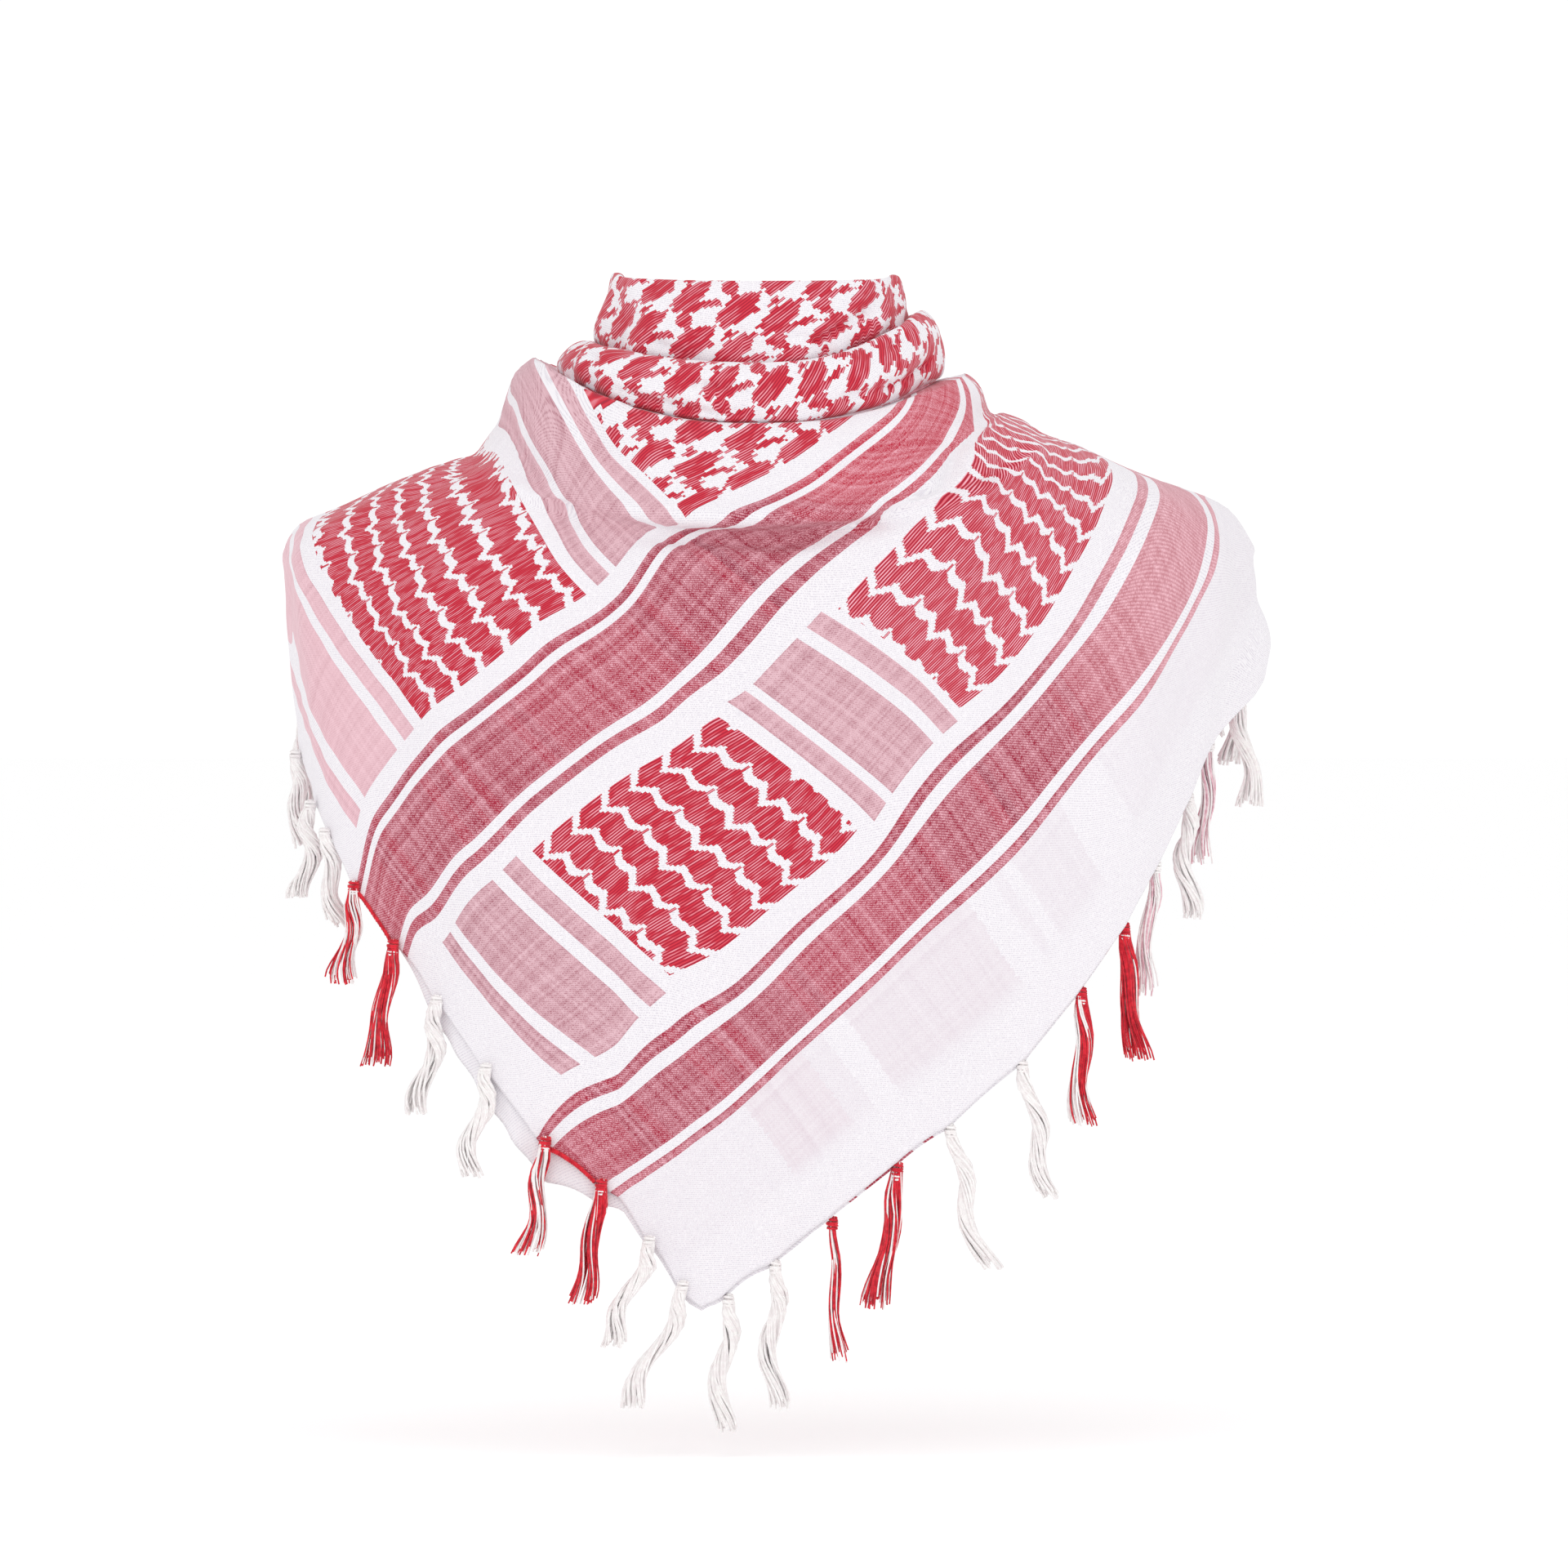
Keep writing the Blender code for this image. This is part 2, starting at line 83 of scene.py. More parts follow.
camera_data = bpy.data.cameras.new("camera")
camera_data.sensor_width = 36
camera_data.lens = 36 * CAMERA_AWAY / (FRAME_PIXELS * PIXEL)
camera = bpy.data.objects.new("camera", camera_data)
look_x, look_z = on_object(960, 960)
camera.location = (float(look_x), -CAMERA_AWAY - 0.06, float(look_z) + 0.10)
target = Vector((float(look_x), -0.06, float(look_z)))
camera.rotation_euler = (target - camera.location).to_track_quat("-Z", "Y").to_euler()
camera_data.clip_end = 60
bpy.context.scene.collection.objects.link(camera)
bpy.context.scene.camera = camera
bpy.context.scene.view_settings.view_transform = "Standard"
print("lens", round(camera_data.lens, 1), "mm")

# %% [markdown]
# ## The form of the worn cloth
# The solids are rings round the neck and shoulders: half widths to the left and right, depths
# to the front and back, and a height at each. The same rings are written here, because the
# cloth must lie where its solids are. Between rings the cloth is eased with a smooth curve,
# which the coarse solids can't afford.

# %% Rings of the rolls and the drape
# Columns of every ring: half widths left and right, half depths front and back, and the
# heights at the front, left, right and back. All are metres.
TOP_ROLL_RINGS = [
    (0.0680, 0.0630, 0.0620, 0.0600, 0.058, 0.062, 0.062, 0.062),
    (0.0700, 0.0650, 0.0650, 0.0630, 0.076, 0.080, 0.079, 0.080),
    (0.0730, 0.0680, 0.0690, 0.0670, 0.0862, 0.0895, 0.0885, 0.0900),
    (0.0755, 0.0700, 0.0720, 0.0690, 0.0882, 0.0912, 0.0905, 0.0920),
    (0.0775, 0.0725, 0.0755, 0.0715, 0.082, 0.084, 0.084, 0.086),
    (0.0800, 0.0740, 0.0780, 0.0740, 0.072, 0.075, 0.077, 0.077),
    (0.0828, 0.0755, 0.0805, 0.0760, 0.060, 0.067, 0.071, 0.068),
    (0.0834, 0.0760, 0.0812, 0.0762, 0.048, 0.060, 0.066, 0.060),
    (0.0800, 0.0738, 0.0785, 0.0745, 0.041, 0.054, 0.061, 0.054),
]
MIDDLE_ROLL_RINGS = [
    (0.0820, 0.0755, 0.0800, 0.0765, 0.036, 0.049, 0.058, 0.052),
    (0.0860, 0.0790, 0.0830, 0.0785, 0.0455, 0.0575, 0.0715, 0.063),
    (0.0890, 0.0835, 0.0865, 0.0815, 0.0470, 0.0600, 0.0755, 0.066),
    (0.0955, 0.0900, 0.0915, 0.0865, 0.042, 0.0575, 0.0700, 0.060),
    (0.1015, 0.0940, 0.0940, 0.0900, 0.032, 0.050, 0.057, 0.049),
    (0.1010, 0.0940, 0.0928, 0.0895, 0.0205, 0.0435, 0.046, 0.040),
    (0.0970, 0.0910, 0.0890, 0.0860, 0.0168, 0.0400, 0.041, 0.036),
    (0.0900, 0.0860, 0.0840, 0.0815, 0.0180, 0.0400, 0.041, 0.037),
]
DRAPE_RINGS = [
    (0.0965, 0.0905, 0.0865, 0.0860, 0.0158, 0.0388, 0.0398, 0.0350),
    (0.1120, 0.1030, 0.0925, 0.0925, 0.0165, 0.0490, 0.0425, 0.0380),
    (0.1150, 0.1065, 0.0955, 0.0945, 0.0140, 0.0495, 0.0425, 0.0370),
    (0.1225, 0.1125, 0.0998, 0.0970, 0.0070, 0.0400, 0.0360, 0.0290),
    (0.1310, 0.1170, 0.1045, 0.0990, -0.0040, 0.0240, 0.0235, 0.0210),
    (0.1380, 0.1240, 0.1090, 0.1005, -0.0130, 0.0140, 0.0225, 0.0130),
    (0.1455, 0.1330, 0.1130, 0.1020, -0.0220, 0.0025, 0.0180, 0.0060),
    (0.1550, 0.1450, 0.1165, 0.1035, -0.0310, -0.0005, 0.0125, 0.0000),
    (0.1620, 0.1530, 0.1140, 0.1040, -0.0375, -0.0030, 0.0095, -0.0050),
    (0.1710, 0.1640, 0.1130, 0.1048, -0.0450, -0.0060, 0.0055, -0.0090),
    (0.1925, 0.1880, 0.1150, 0.1056, -0.0580, -0.0145, -0.0060, -0.0140),
    (0.2150, 0.2120, 0.1185, 0.1066, -0.0750, -0.0255, -0.0145, -0.0190),
    (0.2330, 0.2360, 0.1210, 0.1075, -0.0920, -0.0340, -0.0255, -0.0240),
    (0.2410, 0.2475, 0.1230, 0.1080, -0.1100, -0.0470, -0.0430, -0.0290),
]
CREST_ROW, COWL_TUCK_ROW = 2, 8
COWL_TUCK = 0.0060
SKIRT_ROWS = 9
BODY_LEVELS = [   # height, half width left, half width right, depth front, depth back
    (-0.450, 0.2090, 0.2190, 0.1210, 0.1100),
    (-0.300, 0.2210, 0.2290, 0.1270, 0.1100),
    (-0.165, 0.2300, 0.2370, 0.1270, 0.1100),
    (-0.080, 0.2390, 0.2500, 0.1220, 0.1080),
    (-0.046, 0.2410, 0.2480, 0.1190, 0.1070),
    (-0.020, 0.2410, 0.2480, 0.1160, 0.1060),
]
TIP_ANGLE, DRAPE_SIDE = -5.3, 112.0
HEM_LINE = [      # angle round the body in degrees, height of the outer hem
    (-200, -0.045), (-180, -0.045), (-160, -0.052), (-140, -0.070), (-120, -0.096),
    (-105, -0.121), (-90, -0.150), (-75, -0.181), (-68, -0.191), (-60, -0.219),
    (-54, -0.240), (-43, -0.276), (-34, -0.307), (-25, -0.346), (-15, -0.372),
    (TIP_ANGLE, -0.429), (6, -0.379), (14, -0.351), (21, -0.333), (32, -0.300),
    (40, -0.266), (50, -0.225), (63, -0.177), (75, -0.142), (90, -0.110),
    (105, -0.088), (120, -0.074), (140, -0.058), (160, -0.048), (180, -0.045),
    (200, -0.045),
]
UNDER_DROP = [    # angle, how far the under layer hangs below the outer hem
    (-180, 0.001), (-52, 0.001), (-45, 0.012), (-38, 0.016), (-30, 0.020),
    (-24, 0.016), (-18, 0.010), (-12, 0.004), (-5.3, 0.002), (180, 0.002),
]
DRAPE_FOLDS = [   # angle at the top, angle at the hem, half breadth in degrees, height
    (-78, -66, 7, 0.0035), (-58, -47, 8, -0.0030), (-36, -30, 9, 0.0025),
    (-14, -18, 8, -0.0018), (14, 8, 8, 0.0022), (38, 27, 8, -0.0025),
    (58, 46, 8, 0.0032), (84, 74, 7, -0.0035), (98, 90, 6, 0.0045), (-98, -92, 7, 0.0030),
]
print(len(TOP_ROLL_RINGS), len(MIDDLE_ROLL_RINGS), len(DRAPE_RINGS), "rings")

# %% [markdown]
# ## Sums that place the rings
# A ring is a squared oval, so shoulders come out rounder than an ellipse and flatter in front.
# All sums take whole arrays of angles at once: one array sum is far quicker than a loop.

# %% Points on the rings
ROUNDNESS = 2.4


def smooth(t):
    t = np.clip(t, 0.0, 1.0)
    return t * t * (3 - 2 * t)


def look_up(table, key, column=1):
    rows = np.array(table, float)
    return np.interp(key, rows[:, 0], rows[:, column])


def squared_oval(angle, left, right, front, back):
    """Plan position at an angle from the front, for half widths and depths."""
    s, c = np.sin(np.radians(angle)), np.cos(np.radians(angle))
    width, depth = np.where(s < 0, left, right), np.where(c > 0, front, back)
    power = 2 / ROUNDNESS
    return width * np.sign(s) * abs(s) ** power, -depth * np.sign(c) * abs(c) ** power


def ring_points(angle, ring):
    left, right, front, back, z_front, z_left, z_right, z_back = ring
    s, c = np.sin(np.radians(angle)), np.cos(np.radians(angle))
    x, y = squared_oval(angle, left, right, front, back)
    side, end = np.where(s < 0, z_left, z_right), np.where(c > 0, z_front, z_back)
    return np.stack([x, y, end + (side - end) * s * s], -1)


def outward(points):
    """Level direction away from the neck at each point."""
    flat = points * (1, 1, 0)
    return flat / np.linalg.norm(flat, axis=-1, keepdims=True)


def body_points(angle, height):
    sizes = [look_up(BODY_LEVELS, height, column) for column in (1, 2, 3, 4)]
    x, y = squared_oval(angle, *sizes)
    return np.stack([x, y, height + 0 * x], -1)


def eased_rows(points, rows):
    """Points of each column at its own row places, on a smooth curve through the rings."""
    last = points.shape[1] - 1
    i = np.clip(np.floor(rows).astype(int), 0, last - 1)
    t = (rows - i)[..., None]
    p0, p1, p2, p3 = (np.take_along_axis(points, np.clip(i + step, 0, last)[..., None], 1)
                      for step in (-1, 0, 1, 2))
    return 0.5 * (2 * p1 + (p2 - p0) * t + (2 * p0 - 5 * p1 + 4 * p2 - p3) * t ** 2
                  + (3 * p1 - p0 - 3 * p2 + p3) * t ** 3)


print("ring 7 at the front:", np.round(ring_points(np.array([0.0]), DRAPE_RINGS[7]), 4))

# %% [markdown]
# ## The drape
# On the real scarf this is one sheet: it swags under the rolls as a cowl, turns over the
# shoulders, hangs to a point and closes at the nape, where its left corner laps over the right.
# A cloth simulation would settle somewhere else on every change, so the sheet is laid as given:
# a fine grid whose columns follow the rings, denser at the front, where folds are looked at.

# %% Columns of the drape
LAP_LIFT = 0.0045
LAP_LEFT, LAP_RIGHT = -196, 192


def cowl_weight(angle):
    """One where the cowl swags over the chest, none at the left of the neck."""
    return smooth((angle + 48) / 40) * smooth((88 - angle) / 35)


def fold_lift(angle, down):
    lift = sum(height * np.exp(-((angle - top - (hem - top) * down) / breadth) ** 2)
               for top, hem, breadth, height in DRAPE_FOLDS)
    return lift * smooth((down - 0.25) / 0.45)


def drape_columns(angle):
    """Columns of the drape from its tucked edge to its hem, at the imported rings."""
    rows = [ring_points(angle, ring) for ring in DRAPE_RINGS]
    tuck = (COWL_TUCK * cowl_weight(angle))[:, None]
    rows[COWL_TUCK_ROW] = rows[COWL_TUCK_ROW] - outward(rows[COWL_TUCK_ROW]) * tuck
    turn, hem = rows[-1], look_up(HEM_LINE, angle)
    shift = turn - body_points(angle, turn[:, 2])
    for step in range(1, SKIRT_ROWS + 1):
        height = turn[:, 2] + (hem - turn[:, 2]) * step / SKIRT_ROWS
        t = (turn[:, 2] - height) / np.maximum(turn[:, 2] - hem, 0.02)
        ease = np.maximum(1 - t, 0) ** 2
        rows.append(body_points(angle, height) + shift * ease[:, None])
    last = len(rows) - 1
    rows = [row + outward(row) * fold_lift(angle, i / last)[:, None] for i, row in enumerate(rows)]
    return np.stack(rows, 1)


def lapped_columns(angle, row_places):
    """The same columns with the nape's lap: narrowed towards the corners, the left one lifted."""
    points = drape_columns(angle)
    raised = LAP_LIFT * smooth((abs(angle) - 140) / 22) * (angle < 0)
    for row in (0, 1):
        level = points[:, CREST_ROW] + (0, 0, 0.0016 * (2 - row))
        points[:, row] += (level - points[:, row]) * (raised / LAP_LIFT)[:, None]
    middle = (points.shape[1] - 1) / 2
    kept = 1 - 0.4 * smooth((abs(angle) - 158) / 40)
    places = middle + (row_places[None, :] - middle) * kept[:, None]
    points = eased_rows(points, places)
    return points + outward(points) * raised[:, None, None]


def spread_angles(start, end, count):
    """Angles with more columns at the front than at the back."""
    fine = np.linspace(start, end, 4000)
    weight = 1.0 + 1.3 * smooth((125 - abs(fine)) / 30)
    total = np.concatenate([[0], np.cumsum((weight[1:] + weight[:-1]) / 2)])
    return np.interp(np.linspace(0, total[-1], count), total, fine)


drape_angles = spread_angles(LAP_LEFT, LAP_RIGHT, 401)
drape_rows = np.concatenate([np.arange(0, 13, 0.25), np.arange(13, 22.01, 1 / 7)])
drape = lapped_columns(drape_angles, drape_rows)
print("drape grid", drape.shape[:2], "height", round(float(np.ptp(drape[..., 2])), 4), "m")

# %% [markdown]
# ## Where each thread lies
# The pattern is woven in, so it must bend with the cloth. Every point of the sheet therefore
# gets its place on the flat square, in centimetres: u counts away from the left hem and v
# away from the right hem. Those places are known where woven lines cross in the photograph.
# A thin-plate spline, the curve that a thin steel sheet takes over pegs, fills in the rest.

# %% Places on the flat square, read where woven lines cross
CHEST_CROSSINGS = [   # u, v, then across and down in the photograph
    (0, 8.9, 755, 1461), (0, 14.2, 671, 1372), (0, 26.9, 504, 1178), (0, 33.1, 436, 1092),
    (2.57, 15.2, 688, 1308), (2.57, 25.9, 547, 1156), (4.05, 25.9, 561, 1127),
    (7.14, 25.9, 610, 1075), (7.14, 15.2, 780, 1236), (4.05, 15.2, 731, 1288),
    (8.64, 25.9, 636, 1049), (8.64, 15.2, 814, 1210), (20.66, 25.45, 870, 877),
    (20.66, 15.75, 1050, 1012), (21.4, 25.9, 902, 856), (21.4, 15.2, 1064, 996),
    (22.8, 25.9, 927, 836), (26.2, 25.9, 980, 778), (26.2, 15.2, 1142, 907),
    (22.8, 15.2, 1093, 964), (27.9, 25.9, 1011, 747), (27.9, 15.2, 1169, 882),
    (30.9, 25.45, 1071, 693), (32.9, 25.45, 1107, 662), (35.1, 25.45, 1133, 613),
    (36.7, 25.45, 1160, 587), (38.4, 25.45, 1198, 569),
    (30.6, 15.75, 1218, 831), (32.7, 15.75, 1253, 791), (35.1, 15.75, 1289, 747),
    (37.1, 15.75, 1311, 702), (38.8, 15.75, 1333, 667), (41.3, 15.75, 1351, 609),
    (43.4, 15.75, 1358, 560),
    (3.7, 8.9, 837, 1409), (7.1, 8.9, 899, 1354), (10.8, 8.9, 967, 1296),
    (14.3, 8.9, 1030, 1238), (17.3, 8.9, 1083, 1190), (20.3, 8.9, 1136, 1138),
    (23.2, 8.9, 1188, 1090), (26.2, 8.9, 1241, 1043), (29.5, 8.9, 1294, 980),
    (33.0, 8.9, 1347, 915), (35.8, 8.9, 1391, 862), (38.7, 8.9, 1431, 804),
    (41.0, 8.9, 1462, 756), (43.3, 8.9, 1484, 707), (45.3, 8.9, 1493, 658),
    (46.8, 8.9, 1489, 622),
    (0.5, 0, 870, 1600), (4.3, 0, 946, 1548), (9.8, 0, 1052, 1448), (15.4, 0, 1162, 1369),
    (20.5, 0, 1257, 1290), (24.8, 0, 1320, 1206), (29.8, 0, 1388, 1106),
    (35.2, 0, 1452, 990), (39.2, 0, 1499, 906), (44.0, 0, 1524, 791),
    (0, 0, 860, 1603), (0, 1, 849, 1604), (0, 5, 797, 1529), (0, 20.4, 585, 1283),
    (0, 38.6, 400, 1015),
]
CHEST_LINES = [       # only one of u and v is known on these: which, value, and the places
    ("v", 33.1, [(455, 998), (494, 946), (529, 911), (581, 866), (642, 820), (698, 768),
                 (768, 729), (807, 655)]),
    ("v", 26.9, [(510, 1139), (579, 1058), (688, 966), (755, 911), (820, 876), (898, 803),
                 (950, 746), (998, 703), (1067, 649)]),
    ("v", 14.2, [(757, 1311), (820, 1256), (899, 1196), (978, 1127), (1083, 1027),
                 (1191, 893), (1280, 800), (1338, 716), (1378, 640), (1389, 587)]),
]
LEFT_LINES = [        # at the left the cowl and the chest are one surface
    ("u", 9.34, [(390, 633), (385, 668), (403, 711), (424, 755), (450, 794), (485, 837)]),
    ("u", 20.66, [(598, 522), (605, 550), (624, 581), (650, 633), (685, 690), (722, 729)]),
    ("v", 34.4, [(694, 742), (659, 763), (624, 794), (590, 820), (555, 846), (524, 868)]),
    ("u", 7.8, [(357, 694), (376, 737), (407, 790), (442, 833)]),
    ("u", 4.0, [(346, 672), (353, 755), (368, 833), (385, 890), (413, 929)]),
    ("u", 27.9, [(690, 444), (711, 507), (746, 555), (790, 598)]),
    ("u", 22.5, [(633, 494), (640, 529), (668, 572), (694, 620), (716, 663)]),
    ("u", 21.4, [(607, 511), (642, 581), (690, 650)]),
]
COWL_CROSSINGS = [    # the red lobes of the star field
    (29.35, 34.8, 862, 613), (32.2, 34.8, 922, 579), (35.05, 34.8, 988, 543),
    (30.75, 36.72, 858, 580), (33.6, 36.72, 920, 542), (29.35, 38.45, 798, 553),
    (32.2, 38.45, 856, 523), (30.75, 40.37, 794, 514), (29.35, 42.1, 745, 490),
]
COWL_LINES = [
    ("v", 33.1, [(890, 629), (929, 620), (963, 598), (991, 582), (1058, 533), (1102, 498)]),
    ("v", 26.9, [(1089, 618), (1147, 591), (1169, 569), (1187, 542), (1204, 520)]),
    ("u", 28.4, [(850, 648)]), ("u", 33.6, [(963, 598)]), ("u", 38.3, [(1058, 533)]),
    ("u", 41.5, [(1120, 484)]), ("u", 40.5, [(1204, 520)]), ("v", 43.8, [(690, 444)]),
]
print(len(CHEST_CROSSINGS), "crossings,", len(CHEST_LINES + LEFT_LINES + COWL_LINES), "lines")

# %% [markdown]
# ## Fitting the flat places
# The spline works on distances along the cloth, not on the picture, so the pattern keeps its
# scale where the sheet turns away. Hidden sides have no crossings to read. There the hems give
# the places: a hem's own length is its place on the square, and the cloth runs square to it.
# Each point there then takes the mean of its neighbours many times, which irons out kinks.

# %% Thin-plate spline over distances along the cloth
def along_cloth(points, tip):
    """Distance round from one column and distance down from the first row, in centimetres."""
    round_step = np.linalg.norm(np.diff(points, axis=0), axis=-1)
    total = np.concatenate([np.zeros((1, points.shape[1])), np.cumsum(round_step, 0)])
    down_step = np.linalg.norm(np.diff(points, axis=1), axis=-1)
    down = np.concatenate([np.zeros((points.shape[0], 1)), np.cumsum(down_step, 1)], 1)
    return np.stack([total - total[tip], down], -1) * 100


def plate_kernel(distance_squared):
    return 0.5 * distance_squared * np.log(distance_squared + 1e-9)


def plate_fit(places, values, slack=0.02):
    """A smooth function of place that takes the given values at the given places."""
    places, values = np.array(places, float), np.array(values, float)
    n = len(places)
    gaps = ((places[:, None] - places[None]) ** 2).sum(-1)
    flat = np.column_stack([np.ones(n), places])
    system = np.zeros((n + 3, n + 3))
    system[:n, :n] = plate_kernel(gaps) + slack * n * np.eye(n)
    system[:n, n:], system[n:, :n] = flat, flat.T
    weights = np.linalg.solve(system, np.concatenate([values, np.zeros(3)]))

    def value_at(where):
        result = weights[n] + where @ weights[n + 1:]
        for place, weight in zip(places, weights[:n]):
            result = result + weight * plate_kernel(((where - place) ** 2).sum(-1))
        return result
    return value_at


def in_photo(points):
    """Across and down in the photograph of points on the object."""
    return np.stack([points[..., 0] / PIXEL + MIDDLE_X, NECK_Y - points[..., 2] / PIXEL], -1)


def nearest(points, place, allowed):
    """Index of the allowed grid point that the photograph shows nearest a place."""
    gap = ((in_photo(points) - place) ** 2).sum(-1)
    return np.unravel_index(np.where(allowed, gap, 1e12).argmin(), gap.shape)


def column_at(angle):
    """Number of the grid column nearest an angle round the body."""
    return int(abs(drape_angles - angle).argmin())


SEEN_TO = 100             # degrees: the photograph shows nothing past this
SEAM_ROW = [              # angle, and the grid row where the cowl's fold hides the chest below it
    (17, 8.0), (20, 7.7), (24, 7.3), (28, 6.95), (34, 6.8), (41, 6.2), (47, 5.5), (57, 5.1),
    (67, 4.9), (90, 4.8),
]
cloth_place = along_cloth(drape, column_at(TIP_ANGLE))
row_number = np.broadcast_to(drape_rows, drape.shape[:2])
seen = (abs(drape_angles) < SEEN_TO)[:, None] & np.ones(drape.shape[:2], bool)
seam_row = look_up(SEAM_ROW, drape_angles)[:, None]
on_chest = seen & (row_number >= seam_row + 0.6)
on_cowl = seen & (row_number <= seam_row - 0.4)

known = {"chest": ([], []), "cowl": ([], [])}   # u values and v values, each with its place


def know(part, which, value, place, allowed):
    known[part][which].append((cloth_place[nearest(drape, place, allowed)], value))


for u, v, px, py in CHEST_CROSSINGS:
    know("chest", 0, u, (px, py), on_chest)
    know("chest", 1, v, (px, py), on_chest)
for u, v, px, py in COWL_CROSSINGS:
    know("cowl", 0, u, (px, py), on_cowl)
    know("cowl", 1, v, (px, py), on_cowl)
for lines, parts, allowed in ((CHEST_LINES, ["chest"], on_chest), (COWL_LINES, ["cowl"], on_cowl),
                              (LEFT_LINES, ["chest", "cowl"], seen)):
    for which, value, places in lines:
        for place in places:
            for part in parts:
                know(part, "uv".index(which), value, place, allowed)

HEM_ANGLES = [-190, -178, -165, -150, -135, -120, -108, -98,
              96, 106, 118, 132, 146, 160, 174, 186]
HEM_ROWS = (len(drape_rows) - 1, 88, 66, 44, 22, 4)
HEM_START, HEM_PLACE = 80, {-1: 45.6, 1: 41.8}   # degrees, and centimetres along the hem there
hem_points = drape[:, -1]
hem_run = np.gradient(hem_points, axis=0)
hem_run /= np.linalg.norm(hem_run, axis=1, keepdims=True)
hem_length = abs(cloth_place[:, -1, 0])


def from_hem(column, row, side):
    """Centimetres inward from the hem, and ahead along it, of one grid point."""
    rise = drape[column, row] - hem_points[column]
    up_length = cloth_place[column, -1, 1] - cloth_place[column, row, 1]
    ahead = side * float(rise @ hem_run[column]) / max(np.linalg.norm(rise), 1e-9)
    return up_length * math.sqrt(max(1 - ahead ** 2, 0)), up_length * ahead


for angle in HEM_ANGLES:
    column, side = column_at(angle), -1 if angle < 0 else 1
    along_hem = hem_length[column] - hem_length[column_at(side * HEM_START)] + HEM_PLACE[side]
    for row in HEM_ROWS:
        inward, ahead = from_hem(column, row, side)
        place = cloth_place[column, row]
        u, v = (inward, along_hem + ahead) if side < 0 else (along_hem + ahead, inward)
        for part in known:
            known[part][0].append((place, u))
            known[part][1].append((place, v))
for angle in (64, 72, 80, 88):     # the plain margin at the right, where no line crosses
    column = column_at(angle)
    for row in (86, 95, 105):
        known["chest"][1].append((cloth_place[column, row], from_hem(column, row, 1)[0]))

fits = {part: [plate_fit(*zip(*pairs)) for pairs in known[part]] for part in known}
chest_side = smooth((SEEN_TO - drape_angles) / 16)[:, None]
below = (smooth(row_number - seam_row + 0.5) * chest_side)[..., None]
on_square = (1 - below) * np.stack([fit(cloth_place) for fit in fits["cowl"]], -1) \
    + below * np.stack([fit(cloth_place) for fit in fits["chest"]], -1)
calm = on_square.copy()      # evened out, for the hidden sides, where few places are known
for _ in range(500):
    calm[1:-1, 1:-1] = (calm[2:, 1:-1] + calm[:-2, 1:-1] + calm[1:-1, 2:] + calm[1:-1, :-2]) / 4
    calm[:, 0] += (2 * calm[:, 1] - calm[:, 2] - calm[:, 0]) * 0.2
hidden = smooth((abs(drape_angles) - 86) / 12)[:, None, None]
on_square = on_square * (1 - hidden) + calm * hidden
print("places known:", {part: [len(p) for p in pairs] for part, pairs in known.items()})


def cell_areas(points, places):
    """Worn and woven area of each cell of a grid, in square metres."""
    a, b = np.diff(points[:, :-1], axis=0), np.diff(points[:-1], axis=1)
    c, d = np.diff(places[:, :-1], axis=0), np.diff(places[:-1], axis=1)
    woven = abs(c[..., 0] * d[..., 1] - c[..., 1] * d[..., 0]) * 1e-4
    return np.linalg.norm(np.cross(a, b), axis=-1), woven


worn_area, woven_area = cell_areas(drape, on_square)
stretch = np.percentile(woven_area / worn_area, [5, 50, 95])
print("woven over worn area, 5, 50 and 95 %:", np.round(stretch, 2))

# %% [markdown]
# ## Writing a material as sums
# The woven pattern is a few dozen comparisons of u and v. Placed by hand, so many nodes are hard
# to read, so a small class wraps a node's output and lets ordinary Python signs add Math nodes.

